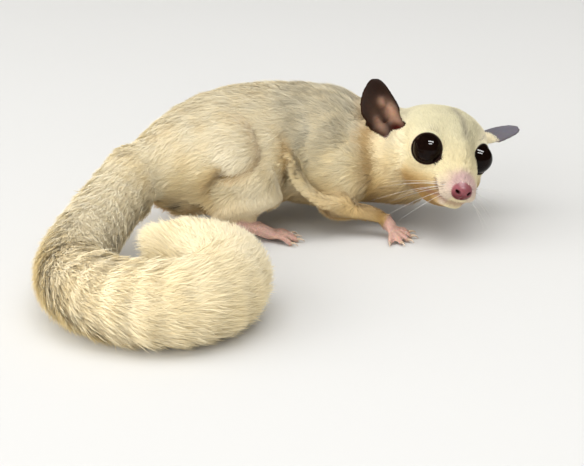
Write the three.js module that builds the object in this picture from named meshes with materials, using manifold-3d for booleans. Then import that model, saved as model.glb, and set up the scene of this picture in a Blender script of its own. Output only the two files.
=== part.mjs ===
// A sugar glider at life size, crouched on all fours with its tail curled beside it on the ground.
// Millimetres, +Z up. The animal faces +X, and its right side faces -Y.
// Each body part is one closed solid that reaches out to the tips of the coat.

import * as THREE from "three";
import { mergeVertices } from "three/addons/utils/BufferGeometryUtils.js";
import Module from "manifold-3d";

const wasm = await Module();
wasm.setup();

// Driving sizes of the animal
const GAP = 0.36; // between neighbouring solids
const GROUND = 0; // height of the flats that it rests on
const TAIL_PIECES = 6;
const EYE_RADIUS = 5.3;
const EYE_APART = 7.5; // from the midline to each eyeball's centre
const EAR = { length: 23, halfWidth: 5.7, thickness: 0.6, cup: 0.06 };
const FINGER = { radius: 0.95, claw: 1.6 };
const TOE = { radius: 1.05, claw: 1.6 };

// Where the midpoint between the eyes is, and how the head is turned, in degrees
const HEAD = { at: [49, -14.5, 25.6], towardsViewer: 13.5, noseDown: 0.6, leftSideDown: 14.9 };

const UP = new THREE.Vector3(0, 0, 1);
const vector = (p) => new THREE.Vector3(...p);
const radians = THREE.MathUtils.degToRad;

// Frames of reference. The head's axes: forward to the nose, left, and up to the crown
function headAxes({ towardsViewer, noseDown, leftSideDown }) {
  const yaw = radians(towardsViewer);
  const pitch = radians(noseDown);
  const roll = radians(leftSideDown);
  const forward = new THREE.Vector3(
    Math.sin(yaw) * Math.cos(pitch),
    -Math.cos(yaw) * Math.cos(pitch),
    -Math.sin(pitch),
  );
  const level = new THREE.Vector3(Math.cos(yaw), Math.sin(yaw), 0);
  const crown = forward.clone().cross(level);
  const left = level.multiplyScalar(Math.cos(roll)).addScaledVector(crown, -Math.sin(roll));
  const up = forward.clone().cross(left);
  return { forward, left, up };
}

const headFrame = headAxes(HEAD);

// A place on the head, from its distances forward, left and up
function onHead(forward, left, up) {
  return vector(HEAD.at)
    .addScaledVector(headFrame.forward, forward)
    .addScaledVector(headFrame.left, left)
    .addScaledVector(headFrame.up, up);
}

// Solids. A three.js geometry becomes one closed solid
function solidOf(geometry) {
  const bare = geometry.clone();
  bare.deleteAttribute("normal");
  bare.deleteAttribute("uv");
  const merged = mergeVertices(bare, 1e-4);
  const mesh = new wasm.Mesh({
    numProp: 3,
    vertProperties: merged.attributes.position.array,
    triVerts: new Uint32Array(merged.index.array),
  });
  return new wasm.Manifold(mesh);
}

// A smooth run of values through the stations, read at a share of the way along
function runThrough(values) {
  const line = new THREE.CatmullRomCurve3(values, false, "centripetal");
  return (share) => line.getPoint(THREE.MathUtils.clamp(share, 0, 1));
}

// Where a section across a curve lies, and which way it faces
function sectionFrame(places, share, up) {
  const ahead = places(share + 0.004).sub(places(share - 0.004)).normalize();
  const side = ahead.clone().cross(up).normalize();
  const above = side.clone().cross(ahead);
  return { centre: places(share), ahead, side, above };
}

const LIMB_DEFAULTS = {
  around: 14,
  along: 11,
  capRows: 2,
  up: UP,
  from: 0,
  to: 1,
  start: "round",
  end: "round",
  bluntness: 0.8,
};

// A limb, neck, trunk or tail: an egg-shaped section carried along a smooth curve.
// A station has its place, its half width, and its half height above and below the curve.
// from and to pick a stretch of the curve. An end is "round" or "flat".
function limb(stations, options = {}) {
  const settings = { ...LIMB_DEFAULTS, ...options };
  const { around, along, capRows, up, from, to, start, end, bluntness } = settings;
  const places = runThrough(stations.map((s) => s.at));
  const sizes = runThrough(stations.map((s) => vector([s.wide, s.high, s.low ?? s.high])));
  const first = start === "round" ? capRows : 1; // the first full section's row
  const last = end === "round" ? along - capRows : along - 1; // and the last one's

  return (grow = 0) => {
    const geometry = new THREE.SphereGeometry(1, around, along);
    const position = geometry.attributes.position;
    const point = new THREE.Vector3();

    for (let i = 0; i < position.count; i++) {
      const row = along - Math.floor(i / (around + 1)); // 0 at the curve's start
      const turn = ((i % (around + 1)) / around) * Math.PI * 2;
      const bounded = THREE.MathUtils.clamp(row, first, last);
      const share = THREE.MathUtils.mapLinear(bounded, first, last, from, to);
      const { centre, ahead, side, above } = sectionFrame(places, share, up);
      const size = sizes(share).addScalar(grow);

      // Beyond the last full section, a round end closes along a quarter circle
      const beyond = Math.max((first - row) / first, (row - last) / (along - last), 0);
      const shrink = Math.cos((beyond * Math.PI) / 2);
      const isRound = row < first ? start === "round" : end === "round";
      const depth = Math.min(size.x, size.y) * bluntness + grow * (1 - bluntness);
      const reach = isRound ? Math.sign(row - first) * Math.sin((beyond * Math.PI) / 2) * depth : 0;

      const across = -Math.cos(turn);
      const upwards = Math.sin(turn);
      point
        .copy(centre)
        .addScaledVector(ahead, beyond > 0 ? reach : 0)
        .addScaledVector(side, across * size.x * shrink)
        .addScaledVector(above, upwards * (upwards > 0 ? size.y : size.z) * shrink);
      position.setXYZ(i, point.x, point.y, point.z);
    }
    return solidOf(geometry);
  };
}

// A thin slab square to a curve, to part two lengths of it by an even gap
function partingSlab(stations, share, halfSize) {
  const { centre, ahead, side, above } = sectionFrame(runThrough(stations.map((s) => s.at)), share, UP);
  const geometry = new THREE.BoxGeometry(halfSize * 2, halfSize * 2, GAP);
  geometry.applyMatrix4(new THREE.Matrix4().makeBasis(side, above, ahead.negate()).setPosition(centre));
  return solidOf(geometry);
}

// A ball, stretched along its own axes and set at a place
function ball(at, radii, detail = 14, axes = null) {
  return (grow = 0) => {
    const geometry = new THREE.SphereGeometry(1, detail, Math.round(detail * 0.7));
    geometry.scale(radii[0] + grow, radii[1] + grow, radii[2] + grow);
    const place = new THREE.Matrix4();
    if (axes) place.makeBasis(axes.forward, axes.left, axes.up);
    place.setPosition(at);
    return solidOf(geometry.applyMatrix4(place));
  };
}

const joined = (...makers) => (grow = 0) => makers.map((make) => make(grow)).reduce((a, b) => a.add(b));

// A flat slab's half space below the ground, to cut the flats that the animal rests on
function belowGround() {
  const size = 400;
  const geometry = new THREE.BoxGeometry(size, size, size);
  geometry.translate(0, 0, GROUND - size / 2);
  return solidOf(geometry);
}

const station = (x, y, z, wide, high, low) => ({ at: vector([x, y, z]), wide, high, low });
const headStation = (forward, up, wide, high, low) => ({ at: onHead(forward, 0, up), wide, high, low });

// Trunk and neck: one curve from the root of the tail to the back of the head
const spine = [
  station(-42, -18, 21.2, 9.8, 11, 9.6),
  station(-34, -13, 22.3, 16, 15.8, 16.4),
  station(-26, -8, 23, 20.2, 18.6, 19.2),
  station(-17, -3, 23.6, 21.6, 20.2, 19.8),
  station(-8, 1, 23.8, 21.2, 20.2, 19.6),
  station(0, 4, 23.6, 19.6, 19.8, 18.9),
  station(6, 5.5, 22.6, 21.2, 19.8, 19.2),
  station(14, 5.4, 21.4, 21.4, 19.6, 18.8),
  station(21, 4.4, 20.9, 19, 17.8, 17.6),
  station(25.5, 3.2, 21.2, 16.8, 16, 16.6),
  station(33, 0.5, 22, 15.8, 14.6, 17.4),
  station(39.4, -3, 23, 14, 12.2, 16.8),
];
const SPINE_CUTS = [0, 0.225, 0.47, 0.79, 1]; // rump, loin, chest, neck
const spinePart = (i, along) => {
  const start = i === 0 ? "round" : "flat";
  const end = i === 3 ? "round" : "flat";
  const stretch = { from: SPINE_CUTS[i], to: SPINE_CUTS[i + 1] };
  return limb(spine, { ...stretch, around: 18, along, start, end, bluntness: 0.6 });
};
const spineGaps = () => SPINE_CUTS.slice(1, -1).map((share) => partingSlab(spine, share, 27));

// Tail: it leaves the rump, comes down to the ground and curls round on itself
const tail = [
  station(-36, -14.5, 21.8, 9, 9.4, 9),
  station(-43.4, -21, 21, 9.8, 10.4, 9.8),
  station(-49.6, -30.5, 18, 9.8, 9.8, 9.8),
  station(-54.4, -42, 14.6, 9.9, 9.9, 10),
  station(-57.4, -54, 12, 10.2, 10.2, 10.8),
  station(-58.6, -67, 10.6, 10.6, 10.6, 11.2),
  station(-56.6, -80, 10.8, 11, 11, 11.4),
  station(-49, -91.4, 11, 11.4, 11.4, 11.6),
  station(-37, -97.4, 11.2, 11.7, 11.7, 11.8),
  station(-26, -96, 11.3, 12, 12, 12),
  station(-18.6, -87.4, 11.3, 12, 12, 12),
  station(-17.8, -75.4, 11.2, 11.8, 11.8, 11.8),
  station(-24.8, -67, 11, 11.4, 11.4, 11.6),
  station(-34.2, -66.6, 10.4, 10.2, 10.4, 11),
];
const tailPart = (i) => {
  const isTip = i === TAIL_PIECES - 1;
  return limb(tail, {
    around: 14,
    along: 6,
    from: i / TAIL_PIECES,
    to: (i + 1) / TAIL_PIECES,
    start: i === 0 ? "round" : "flat",
    end: isTip ? "round" : "flat",
    bluntness: 0.95,
  });
};
const tailGaps = (i) =>
  [i, i + 1]
    .filter((k) => k > 0 && k < TAIL_PIECES)
    .map((k) => partingSlab(tail, k / TAIL_PIECES, 15));

// Head: the skull and cheeks, with hollows that the eyes stand in
const skull = limb(
  [
    headStation(-24, -2, 13, 10, 13.5),
    headStation(-18, -0.6, 14.6, 11, 14.8),
    headStation(-10, 0.3, 15.2, 12, 15),
    headStation(-3, 0, 14, 11.4, 14.4),
    headStation(2.4, -1.6, 10.8, 10, 12.6),
    headStation(6.5, -3.8, 8.6, 8.8, 10.2),
    headStation(9.6, -5.4, 7.4, 7, 8.4),
  ],
  { around: 18, along: 10, up: headFrame.up, bluntness: 0.4 },
);
const cheeks = joined(
  ...[-1, 1].map((side) => ball(onHead(-5, side * 6.2, -7.4), [9.6, 7.4, 7], 10, headFrame)),
);
const orbits = () =>
  [-1, 1].map((side) => ball(onHead(4.6, side * 10, -0.2), [6.8, 5.2, 5], 16, headFrame)(0));
const muzzle = limb(
  [
    headStation(8, -5.4, 7.4, 6.4, 5.2),
    headStation(11, -6.2, 6.5, 5.4, 4.8),
    headStation(13.8, -6.9, 5.2, 4.2, 4.3),
    headStation(15.7, -7.2, 4, 3.1, 3.5),
  ],
  { around: 14, along: 7, up: headFrame.up, bluntness: 0.45 },
);
const lowerJaw = limb(
  [
    headStation(2.4, -11.6, 7, 2.6, 2.8),
    headStation(7.4, -12.2, 5.2, 1.8, 2.3),
    headStation(10.6, -12.2, 3.8, 1.2, 1.9),
    headStation(12.8, -12, 2.7, 0.9, 1.4),
  ],
  { around: 10, along: 7, up: headFrame.up, bluntness: 0.6 },
);
const noseLeather = ball(onHead(15.9, 0, -7), [2, 3.1, 2.5], 10, headFrame);
const nostrils = joined(
  ...[-1, 1].map((side) => ball(onHead(17.5, side * 1.85, -6.9), [0.9, 0.5, 0.6], 6, headFrame)),
);
const eyeball = (side) => ball(onHead(0, side * EYE_APART, 0), [EYE_RADIUS, EYE_RADIUS, EYE_RADIUS], 13);

// An ear: a thin cupped leaf. Its base sits at the origin, it stands along +Z and opens towards +X.
function earLeaf(grow) {
  const geometry = new THREE.SphereGeometry(1, 12, 8);
  const position = geometry.attributes.position;
  for (let i = 0; i < position.count; i++) {
    const height = (position.getY(i) + 1) / 2; // 0 at the base, 1 at the tip
    const outline = 0.78 + 0.5 * Math.sin(Math.PI * Math.pow(height, 0.8)) * (1 - 0.15 * height);
    const across = position.getX(i) * (EAR.halfWidth + grow) * outline;
    const cupDepth = EAR.cup * across * across * (1 - 0.55 * height);
    const bendBack = -2.2 * height * height;
    const thick = -position.getZ(i) * (EAR.thickness + grow) * (1.5 - 0.6 * height);
    position.setXYZ(i, cupDepth + bendBack + thick, -across, height * (EAR.length + 2 * grow) - grow);
  }
  return geometry;
}

// The right ear stands up and opens towards the viewer; the left one is laid out sideways
const EARS = {
  [-1]: { base: [33.7, -7.2, 25], tip: [-0.4, 0.12, 0.91], opens: [0.3, -0.95, 0.1] },
  [1]: { base: [52.8, -1.5, 25.7], tip: [0.86, 0.5, 0], opens: [0.2, 0.16, -0.97] },
};
function ear(side) {
  const { base, tip, opens } = EARS[side];
  const lengthwise = vector(tip).normalize();
  const across = lengthwise.clone().cross(vector(opens)).normalize();
  const place = new THREE.Matrix4().makeBasis(across.clone().cross(lengthwise), across, lengthwise);
  return (grow = 0) => solidOf(earLeaf(grow).applyMatrix4(place.clone().setPosition(vector(base))));
}

// Legs. A side is -1 for the animal's right, which faces -Y, and 1 for its left.
// The right legs are given as they stand. The left ones are reflected in the trunk's own midplane.
function reflected(p, plane) {
  if (plane.side < 0) return p;
  const yaw = radians(plane.yaw);
  const across = new THREE.Vector3(-Math.sin(yaw), Math.cos(yaw), 0);
  const away = p.clone().sub(vector(plane.at)).dot(across);
  return p.clone().addScaledVector(across, -2 * away);
}
const mirroredStations = (stations, plane) => stations.map((s) => ({ ...s, at: reflected(s.at, plane) }));

const chestPlane = (side) => ({ side, at: [14, 4.5, 0], yaw: 2 });
const rumpPlane = (side) => ({ side, at: [-17, -3, 0], yaw: 25 });

const upperForeleg = [
  station(21, -6, 16, 6.5, 8, 8),
  station(15.5, -11, 11.5, 5.6, 6, 5.6),
  station(12.6, -13.6, 9, 4.4, 4.6, 4.4),
];
const forearm = [
  station(12.6, -15, 8.8, 3.7, 3.7, 3.7),
  station(20, -16.6, 8.2, 3.1, 3.1, 3.1),
  station(27, -17.6, 6.8, 2.5, 2.5, 2.5),
];
const palm = [station(28.4, -18, 6, 2.3, 2.2, 2.4), station(30.8, -18.8, 3.6, 2.8, 1.9, 2.2)];

const thigh = [
  station(-25, -12.5, 24, 9.5, 11.5, 10),
  station(-16.5, -17, 23.4, 8.8, 10.8, 9.8),
  station(-8.5, -18, 19, 7, 8.4, 8),
];
const shank = [
  station(-7, -18.4, 15.6, 5.8, 6.4, 6),
  station(-14, -20, 12, 5, 5.3, 5),
  station(-21, -21.2, 9.2, 3.9, 4, 4),
];
const hindFoot = [
  station(-21.8, -21.6, 7.6, 3.1, 3, 3.2),
  station(-14, -21.6, 5.4, 2.8, 2.5, 2.6),
  station(-8, -21.4, 3.4, 3, 1.9, 2.4),
  station(-5.6, -21.4, 2.3, 3.1, 1.7, 2.2),
];

// A digit runs from the paw over one knuckle to its pad on the ground, and ends in a claw
function digit(root, heading, reach, size, plane, knuckle = 1.3) {
  const turn = radians(heading);
  const r = size.radius;
  const claw = size.claw ?? 0;
  const out = (distance, height, radius) => {
    const x = root[0] + Math.cos(turn) * distance;
    const y = root[1] + Math.sin(turn) * distance;
    return { at: reflected(vector([x, y, height]), plane), wide: radius, high: radius };
  };
  const stations = [
    out(0, root[2], r),
    out(reach * 0.5, r + knuckle, r),
    out(reach * 0.92, r * 0.86, r * 1.05),
  ];
  if (claw > 0) {
    stations.push(out(reach + claw * 0.3, r * 0.95, 0.5), out(reach + claw, r * 0.7, 0.36));
  }
  return limb(stations, { around: 5, along: claw > 0 ? 8 : 6, capRows: claw > 0 ? 1 : 2 });
}

function hand(side) {
  const plane = chestPlane(side);
  const headings = [12, -18, -42, -64, -94];
  const reaches = [4.4, 5.6, 6.2, 6.2, 4.6];
  const digits = headings.map((heading, i) => {
    const spread = i - 2;
    const root = [31.4 - 0.45 * spread, -19.4 - spread * 1.05, 2.1];
    return digit(root, heading, reaches[i], FINGER, plane);
  });
  return joined(limb(mirroredStations(palm, plane), { around: 8, along: 5 }), ...digits);
}

function foot(side) {
  const plane = rumpPlane(side);
  const headings = [16, 3, -11, -30];
  const reaches = [6, 7, 8, 7.2];
  const toes = headings.map((heading, i) => {
    const spread = i - 1.5;
    const root = [-5.2 - 0.3 * Math.abs(spread), -21.4 - spread * 1.3, 1.9];
    return digit(root, heading, reaches[i], TOE, plane);
  });
  const bigToe = digit([-8.6, -19.6, 2.2], 62, 5.6, { radius: 1.2 }, plane, 0.6);
  return joined(limb(mirroredStations(hindFoot, plane), { around: 8, along: 6 }), ...toes, bigToe);
}

// The gliding membrane lies in a loose fold along the flank, from the forearm up and back to the knee
const membraneFold = [
  station(18, -18, 11, 1.6, 2, 2),
  station(10, -20, 12, 2.3, 3, 3),
  station(3.6, -19.6, 17.5, 2.2, 2.8, 2.8),
  station(0.6, -17.4, 26, 1.8, 2, 2),
  station(0, -14.4, 32.5, 1.2, 1.4, 1.4),
];

// The pieces, in the order in which they keep their full shape. Each is cut back from those before it.
const pieces = [];
const piece = (name, finish, make, cuts = () => []) => pieces.push({ name, finish, make, cuts });

const SIDES = [
  ["right", -1],
  ["left", 1],
];
for (const [word, side] of SIDES) piece("eye_" + word, "eye", eyeball(side));
piece("nose", "nose_skin", noseLeather, () => [nostrils(0)]);
for (const [word, side] of SIDES) piece("hand_" + word, "paw_skin", hand(side));
for (const [word, side] of SIDES) piece("foot_" + word, "paw_skin", foot(side));
for (const [word, side] of SIDES) {
  const chest = chestPlane(side);
  const rump = rumpPlane(side);
  const sideways = reflected(vector([0, 1, 0.2]), { side, at: [0, 0, 0], yaw: chest.yaw }).normalize();
  const legPart = (name, stations, plane, shape) =>
    piece(name + word, "cream_coat", limb(mirroredStations(stations, plane), shape));
  legPart("forearm_", forearm, chest, { around: 10, along: 6 });
  legPart("shank_", shank, rump, { around: 10, along: 6 });
  legPart("upper_foreleg_", upperForeleg, chest, { around: 10, along: 6 });
  legPart("thigh_", thigh, rump, { around: 14, along: 8 });
  legPart("gliding_membrane_", membraneFold, chest, { around: 8, along: 9, up: sideways });
}
piece("lower_jaw", "cream_coat", lowerJaw);
piece("muzzle", "cream_coat", muzzle, orbits);
piece("ear_right", "dark_ear", ear(-1));
piece("ear_left", "pale_ear", ear(1));
piece("head", "cream_coat", joined(skull, cheeks), orbits);
piece("neck", "cream_coat", spinePart(3, 6), spineGaps);
piece("chest", "grey_coat", spinePart(2, 6), spineGaps);
piece("loin", "grey_coat", spinePart(1, 5), spineGaps);
piece("rump", "cream_coat", spinePart(0, 6), spineGaps);
for (let i = 0; i < TAIL_PIECES; i++) {
  piece("tail_" + (i + 1), "tail_coat", tailPart(i), () => tailGaps(i));
}

// Materials, in the photographed colours
const FINISH = {
  eye: { color: 0x0a0808, roughness: 0.05 },
  nose_skin: { color: 0xd98b91, roughness: 0.5 },
  paw_skin: { color: 0xd9b3a0, roughness: 0.65 },
  dark_ear: { color: 0x5b4238, roughness: 0.6 },
  pale_ear: { color: 0xa79d9f, roughness: 0.6 },
  cream_coat: { color: 0xe3d3a4, roughness: 0.9 },
  grey_coat: { color: 0xc6bd9c, roughness: 0.9 },
  tail_coat: { color: 0xe8dcb8, roughness: 0.9 },
};
const finishOf = ([name, look]) => [name, new THREE.MeshStandardMaterial({ ...look, metalness: 0 })];
const materials = Object.fromEntries(Object.entries(FINISH).map(finishOf));

function largestBody(solid) {
  const bodies = solid.decompose();
  return bodies.reduce((a, b) => (b.volume() > a.volume() ? b : a));
}

function near(a, b) {
  const p = a.boundingBox();
  const q = b.boundingBox();
  return [0, 1, 2].every((k) => p.min[k] - GAP < q.max[k] && q.min[k] - GAP < p.max[k]);
}

function meshOf(solid, name, finish) {
  const made = solid.getMesh();
  const geometry = new THREE.BufferGeometry();
  const count = made.numVert * made.numProp;
  geometry.setAttribute("position", new THREE.BufferAttribute(made.vertProperties.slice(0, count), 3));
  geometry.setIndex(new THREE.BufferAttribute(made.triVerts, 1));
  geometry.computeVertexNormals();
  const mesh = new THREE.Mesh(geometry, materials[finish]);
  mesh.name = name;
  return mesh;
}

const animal = new THREE.Group();
const ground = belowGround();
const done = [];
for (const { name, finish, make, cuts } of pieces) {
  let solid = make(0);
  for (const other of done) if (near(solid, other.solid)) solid = solid.subtract(other.grown);
  for (const tool of cuts()) solid = solid.subtract(tool);
  solid = largestBody(solid.subtract(ground));
  done.push({ solid, grown: make(GAP) });
  animal.add(meshOf(solid, name, finish));
}

// The origin is on the ground under the middle of the whole animal
const whole = new THREE.Box3().setFromObject(animal);
const middle = whole.getCenter(new THREE.Vector3());
animal.position.set(-middle.x, -middle.y, -whole.min.z);

export default animal;
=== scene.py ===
# %% [markdown]
# # A sugar glider, life size
# A small gliding possum with cream fur crouches on the floor, with its head turned to us and its
# thick tail curled beside it. We start from a frame of plain solids that reach to the tips of the
# coat, and make one soft skin inside them. The fur then grows from that skin, as it does in life.

# %% Load the frame
import math

import bmesh
import bpy
import numpy as np
from mathutils import Matrix, Vector, kdtree


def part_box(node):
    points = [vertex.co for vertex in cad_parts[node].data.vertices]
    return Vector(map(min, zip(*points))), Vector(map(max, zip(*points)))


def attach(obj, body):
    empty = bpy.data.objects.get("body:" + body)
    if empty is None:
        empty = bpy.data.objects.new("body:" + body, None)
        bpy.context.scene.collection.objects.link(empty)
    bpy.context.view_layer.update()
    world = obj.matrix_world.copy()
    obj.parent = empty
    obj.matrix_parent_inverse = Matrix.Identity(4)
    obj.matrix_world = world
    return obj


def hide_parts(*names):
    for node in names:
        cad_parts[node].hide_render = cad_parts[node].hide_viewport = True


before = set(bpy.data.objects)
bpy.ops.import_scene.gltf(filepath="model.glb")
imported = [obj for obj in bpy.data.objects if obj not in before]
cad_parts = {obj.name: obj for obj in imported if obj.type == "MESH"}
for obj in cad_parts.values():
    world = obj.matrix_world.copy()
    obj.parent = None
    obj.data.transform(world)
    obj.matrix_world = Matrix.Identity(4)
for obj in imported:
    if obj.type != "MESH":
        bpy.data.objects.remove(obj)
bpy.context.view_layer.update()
MM = 0.001
dice = np.random.default_rng(20)

# %% [markdown]
# ## Where things are on the head
# The head is turned, so it has axes of its own: forward to the nose, left, and up. The two eyes
# and the nose of the frame give them, and then every place on the face is three distances in mm.

# %% Axes of the head
EYE_RADIUS = 5.3  # mm
EYE_APART = 7.5  # mm from the midline to each eyeball's centre
NOSE_DROP = math.atan2(7.0, 15.9)  # how far the line from the eyes to the nose points down


def unit(v):
    v = np.asarray(v, float)
    return v / np.maximum(np.linalg.norm(v, axis=-1, keepdims=True), 1e-12)


def middle(node):
    low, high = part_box(node)
    return (np.array(low) + np.array(high)) / 2


between_eyes = (middle("eye_right") + middle("eye_left")) / 2
head_left = unit(middle("eye_left") - middle("eye_right"))
nose_line = unit(middle("nose") - between_eyes)
nose_line = unit(nose_line - head_left * (nose_line @ head_left))
above_line = np.cross(nose_line, head_left)
head_forward = math.cos(NOSE_DROP) * nose_line + math.sin(NOSE_DROP) * above_line
head_up = -math.sin(NOSE_DROP) * nose_line + math.cos(NOSE_DROP) * above_line
HEAD_AXES = np.array([head_forward, head_left, head_up])


def on_head(forward, left, up):
    """A place on the head in metres, from three distances in mm."""
    return between_eyes + np.array([forward, left, up]) * MM @ HEAD_AXES


def in_head(points):
    """Points in metres, as forward, left and up on the head in mm."""
    return (points - between_eyes) @ HEAD_AXES.T / MM


# The frame was drawn in mm around a point under the loins. These turn its measures into metres.
DRAWN_EYES = np.array([49.0, -14.5, 25.6])


def drawn(x, y, z):
    return between_eyes + (np.array([x, y, z]) - DRAWN_EYES) * MM


def in_drawing(points):
    return (points - between_eyes) / MM + DRAWN_EYES


print("head axes:", HEAD_AXES.round(3).tolist())

# %% [markdown]
# ## Camera
# The viewer stands at the animal's right side and looks down on it a little. The camera's place is
# worked out from the eyes, so it follows the model if its origin moves.

# %% Camera
IMAGE_WIDTH = 584
VIEW_DOWN = math.radians(20)
VIEW_DISTANCE = 0.480
MM_PER_PIXEL = 0.32  # at the middle of the picture
SENSOR = 36.0
VIEW_CENTRE = between_eyes + np.array([-48.4, 14.5, -31.0]) * MM

camera_data = bpy.data.cameras.new("camera")
camera_data.sensor_width = SENSOR
camera_data.lens = SENSOR * VIEW_DISTANCE / (IMAGE_WIDTH * MM_PER_PIXEL * MM)
camera = bpy.data.objects.new("camera", camera_data)
bpy.context.collection.objects.link(camera)
view_line = Vector((0, math.cos(VIEW_DOWN), -math.sin(VIEW_DOWN)))
camera.location = Vector(VIEW_CENTRE) - view_line * VIEW_DISTANCE
camera.rotation_euler = view_line.to_track_quat("-Z", "Y").to_euler()
bpy.context.scene.camera = camera
print("lens:", round(camera_data.lens, 1), "mm")

# %% [markdown]
# ## Colours and materials
# A helper turns the hex colours that we see into the linear ones that light needs. Another adds
# a shader node with its settings and links in one call.


# %% Material helpers
def linear(code):
    """An sRGB hex colour as linear red, green, blue and alpha."""
    levels = [int(code[i : i + 2], 16) / 255 for i in (1, 3, 5)]
    light = [c / 12.92 if c <= 0.04045 else ((c + 0.055) / 1.055) ** 2.4 for c in levels]
    return (*light, 1.0)


def new_material(name):
    material = bpy.data.materials.new(name)
    material.use_nodes = True
    material.node_tree.nodes.clear()
    return material


def add(material, kind, settings=None, **links):
    """Adds a node. Each further name is an input: a value to set, or an output to join."""
    node = material.node_tree.nodes.new(kind)
    for key, value in (settings or {}).items():
        setattr(node, key, value)
    for key, value in links.items():
        label = key.replace("_", " ").strip()
        socket = node.inputs[int(label)] if label.isdigit() else node.inputs[label]
        if isinstance(value, bpy.types.NodeSocket):
            material.node_tree.links.new(value, socket)
        else:
            socket.default_value = value
    return node


# %% [markdown]
# ## The skin
# A real coat hides one unbroken skin. We swell copies of the frame's flesh a little, so that the
# thin gaps between them close. Lids, whisker pads and the fullness of the cheeks, shoulders and
# rump are added as more lumps of clay, and a voxel remesh melts all of it into one surface. We
# could also join the parts by booleans, but those would leave a crease wherever two parts meet,
# and a remesh leaves none.

# %% Clay tools
flesh_nodes = [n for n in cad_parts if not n.startswith(("eye", "ear"))]


def merged_copy(node):
    bm = bmesh.new()
    bm.from_mesh(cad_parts[node].data)
    bmesh.ops.remove_doubles(bm, verts=bm.verts, dist=1e-6)
    bm.normal_update()
    return bm


def new_object(name, bm):
    mesh = bpy.data.meshes.new(name)
    bm.to_mesh(mesh)
    bm.free()
    piece = bpy.data.objects.new(name, mesh)
    bpy.context.collection.objects.link(piece)
    return piece


def pour(bm, other):
    """Adds a copy of one bmesh to another, and frees the copy's source."""
    holder = bpy.data.meshes.new("holder")
    other.to_mesh(holder)
    other.free()
    bm.from_mesh(holder)
    bpy.data.meshes.remove(holder)


def axes_matrix(place, x_axis, y_axis, z_axis):
    matrix = Matrix.Identity(4)
    for column, axis in enumerate((x_axis, y_axis, z_axis, place)):
        matrix.col[column][:3] = axis
    return matrix


def lump(bm, place, radii, axes=HEAD_AXES, detail=20):
    """A ball of clay with its own radii in mm, stretched along three axes."""
    turned = axes_matrix(place, *axes)
    sizes = Matrix.Diagonal((*[r * MM for r in radii], 1))
    bmesh.ops.create_uvsphere(
        bm, u_segments=detail, v_segments=detail // 2, radius=1, matrix=turned @ sizes
    )


print("flesh nodes:", len(flesh_nodes))


# %% A tube along a smooth line
def smooth_run(stops, count):
    """Places along a smooth curve through the stops, at even steps."""
    stops = np.asarray(stops, float)
    stops = np.vstack([2 * stops[0] - stops[1], stops, 2 * stops[-1] - stops[-2]])
    places = []
    for t in np.linspace(0, len(stops) - 3 - 1e-9, count):
        a, b, c, d = stops[int(t) : int(t) + 4]
        x = t % 1
        bend = (2 * a - 5 * b + 4 * c - d) * x**2 + (3 * b - a - 3 * c + d) * x**3
        places.append(b + (c - a) * x / 2 + bend / 2)
    return np.array(places)


def tube(bm, run, radii, sides=16):
    """A round tube through places, its ends closed with a flat face."""
    directions = unit(np.gradient(run, axis=0))
    last = None
    for place, ahead, radius in zip(run, directions, radii):
        level = unit(np.cross(ahead, (0, 0, 1)))
        ring = bmesh.ops.create_circle(
            bm,
            segments=sides,
            radius=radius,
            matrix=axes_matrix(place, level, np.cross(level, ahead), -ahead),
        )["verts"]
        if last:
            edges = {e for v in ring + last for e in v.link_edges}
            bmesh.ops.bridge_loops(bm, edges=[e for e in edges if len(e.link_faces) < 2])
        last = ring
    open_edges = [e for e in bm.edges if e.is_boundary]
    bmesh.ops.holes_fill(bm, edges=open_edges, sides=sides)
    bmesh.ops.recalc_face_normals(bm, faces=bm.faces)


# %% The line of the tail
TAIL = [  # its middle as it was drawn, and its radius to the tips of the hair, in mm
    (-36, -14, 22.6, 10.0),
    (-43.6, -20.6, 22, 10.5),
    (-49.6, -30.5, 18.4, 10.0),
    (-54.4, -42, 14.6, 9.9),
    (-57.4, -54, 12, 10.4),
    (-58.6, -67, 10.6, 10.8),
    (-56.6, -80, 10.8, 11.1),
    (-49, -91.4, 11, 11.5),
    (-37, -97.4, 11.2, 11.7),
    (-26, -96, 11.3, 12),
    (-18.6, -87.4, 11.3, 12),
    (-17.8, -75.4, 11.2, 11.8),
    (-24.8, -67, 11, 11.5),
    (-34.2, -66.6, 10.4, 10.6),
]
ROOT_FUR = 2.4  # mm from the skin to the tips of the hair, at the root of the tail
TAIL_FUR = 3.0  # and further along it
TAIL_RINGS = 60
along_tail = np.linspace(0, 1, TAIL_RINGS)
tail_run = smooth_run([drawn(*stop[:3]) for stop in TAIL], TAIL_RINGS)
tail_reach = np.interp(along_tail, np.linspace(0, 1, len(TAIL)), [stop[3] for stop in TAIL])
tail_fur = np.interp(along_tail, (0.1, 0.42), (ROOT_FUR, TAIL_FUR))
tail_radii = (tail_reach - tail_fur) * MM
tail_length = np.linalg.norm(np.diff(tail_run, axis=0), axis=1).sum()
print("tail:", round(tail_length / MM), "mm along its bend")

# %% Where the digits are
CHEST_PLANE = ((14.0, 4.5, 0.0), 2.0)  # a point of the midline and its turn in degrees
RUMP_PLANE = ((-17.0, -3.0, 0.0), 25.0)
PAWS = {  # each digit's root and heading in degrees as drawn, its reach and its radius in mm
    "hand": (
        CHEST_PLANE,
        [
            ((31.4 - 0.45 * (i - 2), -19.4 - 1.05 * (i - 2)), heading, reach, 0.95)
            for i, (heading, reach) in enumerate(
                zip((12, -18, -42, -64, -94), (4.4, 5.6, 6.2, 6.2, 4.6))
            )
        ],
    ),
    "foot": (
        RUMP_PLANE,
        [
            ((-5.2 - 0.3 * abs(i - 1.5), -21.4 - 1.3 * (i - 1.5)), heading, reach, 1.05)
            for i, (heading, reach) in enumerate(zip((16, 3, -11, -30), (6, 7, 8, 7.2)))
        ],
    ),
}


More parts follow.
